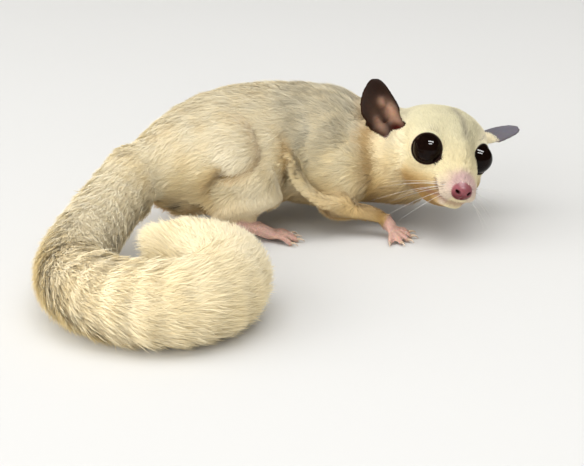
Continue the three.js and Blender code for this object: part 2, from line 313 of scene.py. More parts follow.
def mirrored(xy, plane):
    """Drawn x and y, reflected in the midline of the chest or the rump."""
    (x, y, _), yaw = plane
    across = np.array([-math.sin(math.radians(yaw)), math.cos(math.radians(yaw))])
    return np.asarray(xy) - 2 * ((np.asarray(xy) - (x, y)) @ across)[..., None] * across


def digits_of(node):
    """The start on the floor and the heading of each digit, with its reach and radius in mm."""
    kind, side = node.split("_")
    plane, digits = PAWS[kind]
    found = []
    for start, heading, reach, radius in digits:
        turn = math.radians(heading)
        end = np.array(start) + (math.cos(turn), math.sin(turn))
        if side == "left":
            start, end = mirrored(start, plane), mirrored(end, plane)
        ahead = unit(np.append(end - np.array(start), 0.0))
        found.append((drawn(*start, 0.0), ahead, reach, radius))
    return found


def blunt_digits(bm, node):
    """Draws the claws of the frame back into the pads, as they become pieces of their own."""
    for start, ahead, reach, radius in digits_of(node):
        stop = reach * 0.92 + radius * 0.8
        for v in bm.verts:
            away = (np.array(v.co) - start) / MM
            far = away @ ahead
            if far > stop and np.linalg.norm((away - ahead * far)[:2]) < 1.35:
                v.co -= Vector(ahead * (far - stop) * 0.9 * MM)


print("digits on a hand and a foot:", [len(digits) for _, digits in PAWS.values()])

# %% Lay the clay
CLAY_SWELL = 0.3  # mm
LID = 0.5  # mm, the thickness of an eyelid
SIDE_LUMPS = (  # forward, outward and up on the head, and the three radii, in mm
    ((12.6, 3.3, -8.4), (3.6, 2.9, 2.9)),  # whisker pad
    ((3.6, 6.8, -9.2), (4.4, 3.2, 3.0)),  # cheek
    ((-3.0, 8.2, 5.2), (5.6, 4.2, 3.0)),  # brow
)
HEAD_LUMPS = (
    ((7.0, 6.4, -5.4), (3.2, 2.4, 2.6)),  # side of the snout, under the left eye
    ((11.2, 0, -11.4), (2.6, 2.4, 1.9)),  # chin
    ((9.0, 0, -3.4), (7.0, 2.9, 3.0)),  # bridge of the snout
    ((6.0, 0, -12.0), (6.5, 5.6, 3.2)),  # lower jaw
    ((0.0, 0, -12.4), (6.5, 8.2, 4.6)),  # back of the jaw
)
BODY_LUMPS = (  # place as drawn, and the three radii, in mm
    ((-31.5, -8.5, 12.0), (8.5, 8.5, 9.0)),  # rump, under the tail
    ((-36.5, -11.0, 12.5), (6.5, 6.5, 6.8)),
    ((-35.0, -18.0, 18.0), (8.5, 7.0, 9.0)),  # root of the tail
    ((42.0, -8.0, 13.5), (6.5, 5.5, 5.5)),  # throat
)
SHOULDER = ((15.0, 4.5, 19.5), 15.6, (14.0, 6.4, 9.5))  # middle, its distance to each side, radii

clay = bmesh.new()
tail_core = bmesh.new()
tube(tail_core, tail_run, tail_radii)
pour(clay, tail_core)
for node in flesh_nodes:
    if node.startswith("tail"):
        continue
    part = merged_copy(node)
    for v in part.verts:
        v.co += v.normal * CLAY_SWELL * MM
    if node.startswith(("hand", "foot")):
        blunt_digits(part, node)
    pour(clay, part)
for side in (-1, 1):
    lump(clay, on_head(0, side * EYE_APART, 0), [EYE_RADIUS + LID] * 3, detail=48)
    for (forward, outward, up), radii in SIDE_LUMPS:
        lump(clay, on_head(forward, side * outward, up), radii)
    (forward, midline, up), outward, radii = SHOULDER
    lump(clay, drawn(forward, midline + side * outward, up), radii, np.eye(3))
for place, radii in HEAD_LUMPS:
    lump(clay, on_head(*place), radii)
for place, radii in BODY_LUMPS:
    lump(clay, drawn(*place), radii, np.eye(3))
print("clay:", len(clay.verts), "vertices")

# %% [markdown]
# ## Ears
# A sugar glider's ears are thin, bare leaves that turn and fold on their own. The right one
# stands up with its hollow towards us. The left one is laid out sideways, so that we see only its
# back. Each starts as a flat grid that is drawn out to a leaf, cupped, bent back towards the tip
# and given its thickness. A flattened ball would be thick in the middle, and a real ear is not.

# %% Ears
EAR_LENGTH = 23.0  # mm
EAR_THICKNESS = 1.1  # mm
EAR_CUP = 0.06  # how fast the leaf curves up towards its edges
EAR_FLATTER = 0.55  # how much of that is lost at the tip
EAR_BEND = 2.2  # mm that the tip leans back
EAR_HEIGHTS = (0, 3, 6, 9, 12, 15, 18, 20, 21.5, 22.6, 23)
EAR_REAR = (1.2, 2.0, 3.4, 5.0, 6.2, 6.6, 5.3, 3.6, 1.8, 0.2, -1.0)  # from its middle line
EAR_FRONT = (1.6, 2.8, 3.8, 4.9, 5.2, 5.0, 4.7, 4.3, 3.8, 2.9, 1.4)
EARS = [  # base, towards the tip, the way it opens: forward, left and up on the head
    ((-10.7, -12.6, -4.1), (-0.22, -0.58, 0.78), (0.99, 0.04, 0.12)),
    ((-11.5, 5.6, 1.6), (-0.285, 0.92, 0.24), (-0.1, 0.47, -0.88)),
]


def ear_axes(ear):
    base, tip, opens = ear
    lengthwise = unit(np.array(tip) @ HEAD_AXES)
    across = unit(np.cross(lengthwise, np.array(opens) @ HEAD_AXES))
    return on_head(*base), np.array([np.cross(across, lengthwise), across, lengthwise])


def ear_shape(ear, across, height):
    """An ear's own x, y and z in mm, from -1 (rear) to 1 (front) across it and 0 to 1 up it."""
    z = height * EAR_LENGTH
    rear = -np.interp(z, EAR_HEIGHTS, EAR_REAR)
    front = np.interp(z, EAR_HEIGHTS, EAR_FRONT)
    wide = rear + (front - rear) * (across + 1) / 2
    cup = EAR_CUP * wide**2 * (1 - EAR_FLATTER * height)
    handed = 1 if ear is EARS[0] else -1
    return cup - EAR_BEND * height**2, wide * handed, z


def ear_place(ear, x, y, z):
    base, axes = ear_axes(ear)
    return base + np.array([x, y, z]) * MM @ axes


# %% Leaves of clay
EAR_FOLDS = (  # across, height, how far it stands out, and the radii of each fold in the hollow
    (0.48, 0.46, 0.8, (1.3, 1.6, 3.2)),
    (0.31, 0.65, 0.4, (0.9, 1.1, 1.5)),
    (-0.53, 0.41, 0.5, (1.0, 1.2, 2.6)),
    (0.85, 0.30, 0.6, (1.2, 0.8, 3.0)),
)
for ear in EARS:
    leaf = bmesh.new()
    bmesh.ops.create_grid(leaf, x_segments=24, y_segments=30, size=1)
    for v in leaf.verts:
        v.co = ear_place(ear, *ear_shape(ear, v.co.x, 0.5 + 0.5 * v.co.y))
    leaf.normal_update()
    bmesh.ops.solidify(leaf, geom=list(leaf.faces), thickness=EAR_THICKNESS * MM)
    bmesh.ops.recalc_face_normals(leaf, faces=leaf.faces)
    pour(clay, leaf)
    base, axes = ear_axes(ear)
    for across, height, out, radii in EAR_FOLDS:
        x, y, z = ear_shape(ear, across, height)
        lump(clay, ear_place(ear, x + out, y, z), radii, axes, 16)
    lump(clay, ear_place(ear, -0.8, 0, 1.4), (2.4, 3.0, 3.2), axes, 20)  # root of the ear
print("clay with ears:", len(clay.verts), "vertices")

# %% [markdown]
# ## Melting
# The voxel remesh keeps only the outside of all the lumps. It can leave closed hollows within,
# which would print as stray shells, so only the largest island of the mesh stays.


# %% Melt the clay
def with_modifier(piece, kind, **settings):
    """Applies one modifier: the piece's mesh becomes the result."""
    modifier = piece.modifiers.new(kind, kind)
    for key, value in settings.items():
        setattr(modifier, key, value)
    depsgraph = bpy.context.evaluated_depsgraph_get()
    result = bpy.data.meshes.new_from_object(piece.evaluated_get(depsgraph))
    piece.modifiers.clear()
    old = piece.data
    piece.data = result
    bpy.data.meshes.remove(old)


def keep_largest_island(piece):
    """Drops the closed hollows that a remesh leaves inside."""
    bm = bmesh.new()
    bm.from_mesh(piece.data)
    unseen = set(bm.verts)
    islands = []
    while unseen:
        start = unseen.pop()
        island = [start]
        stack = [start]
        while stack:
            for edge in stack.pop().link_edges:
                for v in edge.verts:
                    if v in unseen:
                        unseen.discard(v)
                        island.append(v)
                        stack.append(v)
        islands.append(island)
    islands.sort(key=len)
    for island in islands[:-1]:
        bmesh.ops.delete(bm, geom=island, context="VERTS")
    bm.to_mesh(piece.data)
    bm.free()


VOXEL = 0.46  # mm
skin = new_object("skin", clay)
with_modifier(skin, "REMESH", mode="VOXEL", voxel_size=VOXEL * MM, adaptivity=0)
keep_largest_island(skin)
print("skin after the remesh:", len(skin.data.vertices), "vertices")


# %% Mesh helpers in numpy
def read(items, key, width, kind=np.float32):
    """One value of every vertex, edge or corner of a mesh, as the rows of an array."""
    flat = np.empty(len(items) * width, kind)
    items.foreach_get(key, flat)
    return flat.reshape(-1, width)


def points_of(mesh):
    return read(mesh.vertices, "co", 3).astype(float)


def normals_of(mesh):
    return read(mesh.vertex_normals, "vector", 3).astype(float)


def edges_of(mesh):
    return read(mesh.edges, "vertices", 2, np.int32)


def set_points(mesh, points):
    mesh.vertices.foreach_set("co", np.asarray(points, np.float32).ravel())
    mesh.update()


def shade_smooth(mesh):
    mesh.polygons.foreach_set("use_smooth", np.ones(len(mesh.polygons), bool))
    mesh.update()


def tree_of(places):
    """A tree that finds the nearest of many places."""
    tree = kdtree.KDTree(len(places))
    for i, place in enumerate(places):
        tree.insert(place, i)
    tree.balance()
    return tree


def spread(values, edges, rounds, share=0.5):
    """Evens out values over the mesh, each round by the given share of the neighbours' mean."""
    columns = np.array(values, float).reshape(len(values), -1)
    count = np.maximum(np.bincount(edges.ravel(), minlength=len(columns)), 1)[:, None]
    if np.ndim(share):
        share = share[:, None]
    a, b = edges.T
    for _ in range(rounds):
        total = np.column_stack(
            [
                np.bincount(a, c[b], len(c)) + np.bincount(b, c[a], len(c))
                for c in columns.T
            ]
        )
        columns = columns + share * (total / count - columns)
    return columns.reshape(np.shape(values))


def step(x, low, high):
    """0 below low, 1 above high, and smooth between them."""
    t = np.clip((x - low) / (high - low), 0, 1)
    return t * t * (3 - 2 * t)


def bell(x, width):
    return np.exp(-((x / width) ** 2))


# %% [markdown]
# ## Depth and lie of the coat
# Hair points from the nose to the tail and down each leg. Every part of the frame knows how deep
# its coat is and which way its hair lies. Each point of the skin takes the mean of the nearest
# parts, so the coat changes softly from the tail's long fur to the short fur of the legs. It could
# be combed by hand instead, but then it would not follow a change of the frame.

# %% Depth and lie
COAT = {  # depth in mm, hair length in mm
    "tail": (3.0, 9.0),
    "rump": (2.5, 5.6),
    "loin": (2.3, 5.4),
    "chest": (2.3, 5.2),
    "neck": (1.8, 4.2),
    "head": (0.8, 2.1),
    "muzzle": (0.35, 1.2),
    "nose": (0.0, 0.0),
    "lower_jaw": (0.35, 1.3),
    "thigh": (2.0, 4.4),
    "shank": (1.4, 3.2),
    "foot": (0.1, 0.8),
    "upper_foreleg": (1.8, 3.6),
    "forearm": (0.9, 2.4),
    "hand": (0.1, 0.7),
    "gliding_membrane": (0.7, 2.6),
}
KINDS = list(COAT)
TRUNK_LINE = ["head", "neck", "chest", "loin", "rump"]
LEG_LINES = [
    tuple(f"{part}_{side}" for part in leg)
    for leg in (("upper_foreleg", "forearm", "hand"), ("thigh", "shank", "foot"))
    for side in ("right", "left")
]
print("coat: from", min(COAT.values()), "to", max(COAT.values()), "mm deep and long")


# %% Which way the hair lies
def kind_of(node):
    return max((k for k in KINDS if node.startswith(k)), key=len)


def centre(node):
    return points_of(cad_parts[node].data).mean(axis=0)


def near_runs(points, stops):
    """Each run between two stops, where on it a point is nearest (0 to 1), and how far off."""
    starts, runs = stops[:-1], np.diff(stops, axis=0)
    t = np.einsum("pij,ij->pi", points[:, None] - starts, runs) / (runs**2).sum(axis=1)
    t = np.clip(t, 0, 1)
    gap = np.linalg.norm(points[:, None] - (starts + t[..., None] * runs), axis=2)
    return runs, t, gap


def along_line(points, stops):
    """The direction of a line of stops at the place nearest to each point."""
    runs, _, gap = near_runs(points, stops)
    closeness = 1 / (gap + 2 * MM) ** 4
    return unit(np.einsum("pi,ij->pj", closeness, unit(runs)))


spine_run = np.vstack([[centre(n) for n in TRUNK_LINE], tail_run[6::4]])


def lie_of(node, points):
    if node.startswith(("head", "muzzle", "nose", "lower_jaw")):
        return unit(points - on_head(17, 0, -6))
    along_spine = along_line(points, spine_run)
    for leg in LEG_LINES:
        if node in leg:
            down = along_line(points, np.array([centre(n) for n in leg]))
            return unit(along_spine + 0.5 * down) if node == leg[0] else down
    return along_spine


print("the spine runs past", len(spine_run), "places")


# %% Ask the nearest parts
def corner_shares(count):
    """A random place in each of many triangles, as the shares of its three corners."""
    u, v = dice.random((2, count))
    over = u + v > 1
    u[over], v[over] = 1 - u[over], 1 - v[over]
    return np.column_stack([1 - u - v, u, v])


def sample_nodes(nodes, spacing=1.5):
    """Points spread over the frame's surfaces, with what each says of the coat."""
    found = []
    for node in nodes:
        part = merged_copy(node)
        corners = np.array([[v.co[:] for v in f.verts] for f in part.faces])
        part.free()
        a, b, c = corners[:, 0], corners[:, 1], corners[:, 2]
        areas = np.linalg.norm(np.cross(b - a, c - a), axis=1) / 2
        number = np.maximum(1, (areas / (spacing * MM) ** 2).astype(int))
        pick = np.repeat(np.arange(len(areas)), number)
        _, u, v = corner_shares(len(pick)).T
        p = a[pick] + u[:, None] * (b - a)[pick] + v[:, None] * (c - a)[pick]
        kind = np.zeros((len(p), len(KINDS)))
        kind[:, KINDS.index(kind_of(node))] = 1
        found.append(np.hstack([p, kind, lie_of(node, p)]))
    found = np.vstack(found)
    return found[:, :3], found[:, 3:]


def nearest_mean(points, places, values, number=6):
    tree = tree_of(places)
    index = np.empty((len(points), number), int)
    weight = np.empty((len(points), number))
    for i, p in enumerate(points):
        for k, (_, j, distance) in enumerate(tree.find_n(p, number)):
            index[i, k] = j
            weight[i, k] = 1 / (distance + 0.5 * MM)
    weight /= weight.sum(axis=1, keepdims=True)
    return np.einsum("pk,pkv->pv", weight, values[index])


places, values = sample_nodes(flesh_nodes)
points = points_of(skin.data)
edges = edges_of(skin.data)
values = spread(nearest_mean(points, places, values), edges, 12)
kinds = dict(zip(KINDS, values[:, : len(KINDS)].T))
lie = values[:, len(KINDS) :]
print("asked", len(places), "places of the frame")


# %% Bare places
def in_ear(points, ear):
    """Points as an ear's own x from its leaf, y to its front edge and z, in mm."""
    base, axes = ear_axes(ear)
    x, y, z = ((points - base) @ axes.T / MM).T
    share = z / EAR_LENGTH
    x = x - EAR_CUP * y**2 * (1 - EAR_FLATTER * share) + EAR_BEND * share**2
    return x, y * (1 if ear is EARS[0] else -1), z


def near_ears(points):
    """1 on the bare leaf of an ear and 0 elsewhere. Fur climbs up the base of the rear edge."""
    found = np.zeros(len(points))
    for ear, fur_line, soft in zip(EARS, (2.4, 12.0), (0.6, 1.8)):
        x, y, z = in_ear(points, ear)
        above = z - fur_line - 0.75 * np.maximum(-y - 1, 0) ** 1.3 * (ear is EARS[0])
        leaf = step(above, -soft, soft) * (z < 26)
        leaf *= y > -np.interp(z, EAR_HEIGHTS, EAR_REAR) - 1.2
        leaf *= y < np.interp(z, (3, 6, 9, 12, 13), (1.8, 3.0, 4.9, 6.2, 9))
        hollow = 4.4 - 1.6 * step(z, 7, 10)
        found = np.maximum(found, leaf * step(x, -2.2, -1.6) * (1 - step(x, hollow, hollow + 0.8)))
    return found


ears = near_ears(points)
near_eyes = np.maximum(
    *[
        1 - step(np.linalg.norm(points - on_head(0, s * EYE_APART, 0), axis=1) / MM, 6.2, 8.0)
        for s in (-1, 1)
    ]
)
paws = step(kinds["foot"] + kinds["hand"] + kinds["nose"], 0.3, 0.7)
jaws = 0.7 * step(kinds["lower_jaw"] + kinds["muzzle"], 0.2, 0.7)
still = np.maximum.reduce([paws, ears, near_eyes, jaws])
bare = np.maximum(ears, near_eyes)
print("bare places:", int((bare > 0.5).sum()), "points")

# %% [markdown]
# ## Press the skin below the coat
# The frame reaches to the tips of the hair, so the skin has to lie deeper, by the depth of the
# coat at that place. It is pressed in along its own normals, a little at a time, and evened out
# between, as one big press would make it cross itself. Ears, lids and paws stay where they are.

# %% How deep and how long
x, y, z = in_ear(points, EARS[0])
by_ear = (x > -1) * (1 - step(x, 4, 7))  # the short fur in front of the right ear
by_ear = by_ear * (1 - step(np.abs(y), 5, 8)) * (1 - step(np.abs(z - 2), 4, 7))
depth = sum(kinds[k] * COAT[k][0] for k in KINDS) * (1 - bare) * (1 - 0.6 * by_ear)
length = sum(kinds[k] * COAT[k][1] for k in KINDS) * (1 - ears) * (1 - 0.55 * by_ear)
gaps = np.linalg.norm(points[:, None] - tail_run[None, ::2], axis=2)
own_fur = tail_fur[::2][gaps.argmin(axis=1)]
beyond_core = np.clip(gaps.min(axis=1) / MM - tail_radii[::2][gaps.argmin(axis=1)] / MM, 0, 8)
press = (depth - kinds["tail"] * TAIL_FUR + CLAY_SWELL * (1 - kinds["tail"])) * (1 - bare)
press += kinds["tail"] * beyond_core
ear_bowl = 1.6 * bell(x - 2.5, 3.0) * bell(y - 0.8, 3.4) * bell(z - 4.0, 3.2)  # mm
press += ear_bowl
depth -= kinds["tail"] * (TAIL_FUR - own_fur)
length *= 1 - 0.3 * kinds["tail"] * (TAIL_FUR - own_fur) / (TAIL_FUR - ROOT_FUR)
print("the skin is to go in by up to", press.max().round(2), "mm")

# %% Press
PRESSES = 6
ROOT_SWELL = 0.9  # mm by which the root of the tail is filled out again
loose = 0.5 * (1 - still)
points = spread(points, edges, 5)
points = spread(points, edges, 22, loose)
set_points(skin.data, points)
depth = spread(depth, edges, 60, loose)
length = spread(length, edges, 60, loose)
lie = unit(spread(lie, edges, 30, loose))
depth = spread(depth, edges, 6)
press = spread(np.maximum(press, 0), edges, 14)
for _ in range(PRESSES):
    pressed = normals_of(skin.data) * (press / PRESSES * MM)[:, None]
    points = spread(points - pressed, edges, 2, loose)
    set_points(skin.data, points)
from_root = np.linalg.norm(points - drawn(-38.0, -16.5, 21.5), axis=1) / (12 * MM)
tail_root = np.exp(-(from_root**4))
points = spread(points, edges, 90, 0.5 * tail_root)
set_points(skin.data, points)
points = points + normals_of(skin.data) * (ROOT_SWELL * tail_root * MM)[:, None]
set_points(skin.data, points)
print("coat depth:", depth.min().round(2), "to", depth.max().round(2), "mm")

# %% [markdown]
# ## Folds of the hind leg
# The thigh of a crouching animal bulges, and loose skin folds round it. A crease is pressed along
# a line of places on the flank, and the thigh and the knee are swelled inside it. Both sides of
# the body get the same folds. Real shape is better than a bump here, as the coat grows from it.

# %% Fold the flank
THIGH_CREASE = [  # x, z as drawn, and the depth, in mm
    (-15.5, 38, 0.2),
    (-11.3, 35.3, 0.6),
    (-8.9, 31.5, 0.9),
    (-8, 27.7, 1.0),
    (-10.4, 23.9, 1.1),
    (-14.8, 22.6, 1.4),
    (-19.6, 21.4, 1.7),
    (-22.6, 17.9, 1.6),
    (-21.6, 14.6, 0.6),
]
KNEE_CREASE = [(-1.2, 33, 0.1), (-0.6, 28, 1.1), (-0.4, 22, 1.5), (-0.6, 16, 1.3)]
CREASE_WIDTH = 1.25  # mm


def crease_at(x, z, line):
    """How deep a crease is at each point, in mm."""
    line = np.array(line, float)
    _, t, gap = near_runs(np.column_stack([x, z]), line[:, :2])
    depths = line[:-1, 2] + t * np.diff(line[:, 2])
    return (depths * bell(gap, CREASE_WIDTH)).max(axis=1)


def flank_folds(points):
    """The creases of the flank and the swelling between them, in mm, the same on both sides."""
    place = in_drawing(points)
    midline, turn = RUMP_PLANE[0][:2], math.radians(RUMP_PLANE[1])
    side = (place[:, :2] - midline) @ (-math.sin(turn), math.cos(turn))
    on_left = (side > 0)[:, None]
    place[:, :2] = np.where(on_left, mirrored(place[:, :2], RUMP_PLANE), place[:, :2])
    x, y, z = place.T
    outside = step(np.abs(side), 6, 11)
    creases = np.maximum(crease_at(x, z, THIGH_CREASE), crease_at(x, z, KNEE_CREASE))
    thigh = np.exp(-(((x + 15.5) / 6.0) ** 2) - ((z - 29.0) / 5.2) ** 2)
    knee = np.exp(-(((x + 9.5) / 7.5) ** 2) - ((z - 18.0) / 3.6) ** 2)
    return outside * creases, outside * (1.5 * thigh + 0.8 * knee)


creases, bulges = flank_folds(points)
on_flank = 1 - kinds["tail"] - kinds["foot"] - kinds["hand"]
points = points + normals_of(skin.data) * ((bulges - creases) * on_flank * MM)[:, None]
points = spread(points, edges, 3, loose)
set_points(skin.data, points)
print("folds: up to", creases.max().round(2), "mm deep")

# %% [markdown]
# ## Eyelids and nostrils
# The mesh is made finer round the eyes and the nose. Then each eye is opened: skin inside the
# opening sinks behind the eyeball, and skin outside it stays in front as the lid. A boolean could
# cut the opening, but it would leave a hard edge, and a lid is soft and round. The opening is a
# circle drawn out to a small point at the corner next to the nose. The nostrils are pressed in
# likewise.

# %% Finer mesh on the face
FINE_PLACES = [  # the middle and the reach in mm: both eyes and the nose
    (on_head(0, -EYE_APART, 0), 10.4),
    (on_head(0, EYE_APART, 0), 10.4),
    (on_head(15.5, 0, -7), 5.0),
]
fine = bmesh.new()
fine.from_mesh(skin.data)
chosen = set()
for v in fine.verts:
    for place, reach in FINE_PLACES:
        if (v.co - Vector(place)).length < reach * MM:
            chosen.update(v.link_edges)
bmesh.ops.subdivide_edges(fine, edges=list(chosen), cuts=1, use_grid_fill=True)
fine.to_mesh(skin.data)
fine.free()


def carry(values, old_points, new_points):
    """Brings values along to a mesh whose points have changed, from the nearest old point."""
    tree = tree_of(old_points)
    return values[[tree.find(p)[1] for p in new_points]]


told = np.column_stack([depth, length, ears, lie, np.column_stack(list(kinds.values()))])
old_points = points
points = points_of(skin.data)
edges = edges_of(skin.data)
told = carry(told, old_points, points)
print("with the finer face:", len(points), "vertices")

# %% Open the eyes
EYE_OPEN = math.radians(57)  # from the middle of the opening to its edge
EYE_CORNER = math.radians(2.5)  # how much further the corner next to the nose runs
EYE_LOOKS = {-1: (0.79, -0.57, 0.2), 1: (0.79, 0.57, 0.2)}
BEHIND = 1.0  # mm that the skin sinks behind the front of the ball
DRAWN_IN = 3.2  # mm beyond the ball within which skin is drawn in to the lid
DRAWN_MORE = {-1: 4.6, 1: 1.4}  # mm that this reaches further over the opening of each eye
rim = np.zeros(len(points))
opened = np.zeros(len(points))
for side, looks in EYE_LOOKS.items():
    eye = on_head(0, side * EYE_APART, 0)
    axis = unit(np.array(looks) @ HEAD_AXES)
    corner = np.array([0.27, -side * 0.8, -0.6]) @ HEAD_AXES
    corner = unit(corner - axis * (corner @ axis))
    away = points - eye
    distance = np.linalg.norm(away, axis=1) / MM
    heading = away / MM / distance[:, None]
    angle = np.arccos(np.clip(heading @ axis, -1, 1))
    sideways = unit(heading - (heading @ axis)[:, None] * axis)
    turn = np.arccos(np.clip(sideways @ corner, -1, 1))
    edge = EYE_OPEN + EYE_CORNER * np.exp(-((turn / 0.65) ** 2))
    past = np.degrees(angle - edge)
    near = distance < EYE_RADIUS + 10
    wall = step(past, -4.5, 0.5)
    inside = EYE_RADIUS - BEHIND
    lid_top = EYE_RADIUS + LID * (0.55 + 0.45 * step(past, 0, 10))
    outside = lid_top + np.maximum(distance - lid_top, 0) * step(past, 4, 42)
    drawn_to = EYE_RADIUS + DRAWN_IN + DRAWN_MORE[side] * (1 - step(past, 0, 14))
    blend = (1 - step(past, 44, 60)) * (1 - step(distance, drawn_to, drawn_to + 4))
    new_distance = inside + (outside - inside) * wall
    new_distance = distance + (new_distance - distance) * blend
    points = np.where(near[:, None], eye + heading * new_distance[:, None] * MM, points)
    near = new_distance < EYE_RADIUS + 1.2
    opened = np.maximum(opened, near * (1 - step(past, -6, -1.5)))
    rim = np.maximum(rim, near * step(past, -6, -1) * (1 - step(past, 1, 5)))
    # Hair beside the eye turns away from it, and is short at the rim
    near = np.minimum(distance, new_distance) < EYE_RADIUS + 2.5
    beside = near * (1 - step(past, 4, 34))
    hair = told[:, 3:6]
    towards = np.minimum((hair * sideways).sum(axis=1), 0)
    hair = hair + sideways * (beside * (0.35 - towards))[:, None]
    told[:, 3:6] = unit(hair)
    told[:, 1] *= 1 - 0.65 * near * (1 - step(past, 0, 24))
    told[:, 0] *= 1 - 0.8 * near * (1 - step(past, 0, 24))
points = spread(points, edges, 2, 0.35 * (rim > 0.05))
print("rim points:", int((rim > 0.5).sum()))

# %% Press in the nostrils and the canals of the ears
nostril = np.zeros(len(points))
for side in (-1, 1):
    f, l, u = (in_head(points) - (17.2, side * 1.75, -7.1)).T
    hole = np.sqrt((l / 0.85) ** 2 + ((u - 0.3 * side * l) / 0.62) ** 2 + (f / 2.2) ** 2)
    press_in = 1 - step(hole, 0.35, 1.1)
    points = points - (press_in * 1.3 * MM)[:, None] * HEAD_AXES[0]
    nostril = np.maximum(nostril, 1 - step(hole, 0.5, 1.25))
f, l, u = in_head(points).T
groove = np.exp(-((l / 0.32) ** 2)) * step(f, 14.5, 16) * step(-u, 6.5, 8.5)
points = points - (groove * 0.35 * MM)[:, None] * HEAD_AXES[0]
for ear in EARS:
    x, y, z = in_ear(points, ear)
    canal = bell(y - 1.0, 1.8) * bell(z - 6.0, 1.9) * step(x, 0, 0.8) * (1 - step(x, 4, 6))
    points = points - (canal * 2.4 * MM)[:, None] * ear_axes(ear)[1][0]
set_points(skin.data, points)
print("nostril points:", int((nostril > 0.5).sum()))

# %% [markdown]
# ## Thin out the hidden mesh
# Under the long fur a coarse skin does as well as a fine one. Only the face, the ears and the paws
# keep all of their points.

# %% Decimate under the fur
told = np.column_stack([told, rim, opened, nostril])
old_points = points
hidden = skin.vertex_groups.new(name="hidden")
freely = step(told[:, 0], 0.7, 1.6)
for level in range(11):
    chosen = np.nonzero(np.round(freely * 10) == level)[0]
    hidden.add(chosen.tolist(), max(level / 10, 0.02), "REPLACE")
thinning = {"ratio": 0.5, "use_collapse_triangulate": True, "vertex_group": "hidden"}
with_modifier(skin, "DECIMATE", **thinning)
points = points_of(skin.data)
edges = edges_of(skin.data)
told = carry(told, old_points, points)
depth, length, ears = told[:, 0], told[:, 1], told[:, 2]
lie = told[:, 3:6]
kinds = dict(zip(KINDS, told[:, 6 : 6 + len(KINDS)].T))
rim, opened, nostril = told[:, -3:].T
print("skin:", len(skin.data.polygons), "triangles")

# %% [markdown]
# ## Unwrap
# The skin gets a flat map, named OFBake, through which its colours can be baked. Its islands could
# be cut by hand, but the coat hides every seam, so the smart projection is enough. The hairs
# borrow their place on the map from the point of skin that they grow from.

# %% Unwrap the skin
bpy.context.view_layer.objects.active = skin
skin.data.uv_layers.new(name="OFBake")
skin.data.uv_layers.active = skin.data.uv_layers["OFBake"]
skin.select_set(True)
bpy.ops.object.mode_set(mode="EDIT")
bpy.ops.mesh.select_all(action="SELECT")
bpy.ops.uv.smart_project(angle_limit=math.radians(66), island_margin=0.0005)
bpy.ops.object.mode_set(mode="OBJECT")
triangles = read(skin.data.loops, "vertex_index", 1, np.int32).reshape(-1, 3)
triangle_uvs = read(skin.data.uv_layers["OFBake"].data, "uv", 2).reshape(-1, 3, 2)
print("unwrapped", len(triangles), "triangles")

# %% [markdown]
# ## Markings
# The animal is cream all over, with a grey cape, a faint grey stripe on the brow, warm gold low
# on the flanks and throat, and pink paws and muzzle. The darker face, and the gold and brown on the
# throat, in the creases and on the lower cheeks, are painted shade, and the gold low on the flanks
# partly so; the legs and the root of the tail are paler by painted light. Its colours could be a
# painted picture, but brushes with soft edges follow the shape by themselves. Each hair then takes
# the colour of the skin at its root, so coat and skin always carry the same markings.

# %% Colours and brushes
COLOURS = {
    "cream": "#f8efd6",
    # a greyer cream, painted shade laid over the face
    "face": "#cec9ac",
    "butter": "#f3e0ae",
    # the coat's warm tone low on the flanks, also used as painted shade in the folds, on the throat,
    # the forearm and the lower face
    "gold": "#dfbd7c",
    # a brown used as painted shade in the creases, on the throat, the forearm and the lower face
    "painted_shade": "#94703e",
    # tan of the crease behind the ear, partly the coat's own tone and partly painted shade
    "tan_crease_shade": "#ad8747",
    "grey": "#aaa18a",
    "muzzle": "#cfaeab",
    "pad": "#d6c4b4",
    # used for the whisker spots, and for the line of the lips, which is partly painted shade
    "lips": "#96695a",
    "nose": "#9a5a60",
    # painted shade on the underside of the nose leather
    "nose_low": "#67292f",
    # painted shade deep in the nostrils
    "nostril": "#30100f",
    "paw": "#dcb3a2",
    "ear_dark": "#27150b",
    "ear_mid": "#483021",
    "ear_fold": "#bd937a",
    # the canal's own red, deepened by painted shade of the hole
    "ear_canal": "#4a1610",
    "ear_pale": "#76727a",
    "lid": "#2c1d17",
    "brown": "#4c3118",
}
PAINT = {name: np.array(linear(code)[:3]) for name, code in COLOURS.items()}
WHISKER_ROWS = 4
WHISKER_COLUMNS = 4


def brush(base, name, amount):
    amount = np.clip(amount, 0, 1)[:, None]
    return base * (1 - amount) + PAINT[name] * amount


def ripple(points, size, seed):
    """A soft pattern between -1 and 1, with bumps of about that size in mm."""
    source = np.random.default_rng(seed)
    waves = unit(source.normal(size=(9, 3))) * (2 * math.pi / (size * MM * 2))
    waves *= source.uniform(0.6, 1.6, (9, 1))
    phases = source.uniform(0, 2 * math.pi, 9)
    return np.sin(points @ waves.T + phases).sum(axis=1) / 3.6


print("colours:", len(PAINT))

# %% Where the head and the tail pass into the body
nose_place = (in_head(points) - (16.4, -0.2, -7.1)) / (2.9, 3.35, 3.0)
nose_leather = 1 - step(np.linalg.norm(nose_place, axis=1), 0.88, 1.12)
on_face = step(kinds["head"] + kinds["muzzle"] + kinds["lower_jaw"], 0.3, 0.7)
on_face = spread(on_face, edges, 80)
on_tail = step(kinds["tail"], 0.3, 0.7)
on_body = (1 - on_face) * (1 - on_tail)
print("points on the face:", int((on_face > 0.5).sum()), "and the tail:", int((on_tail > 0.5).sum()))


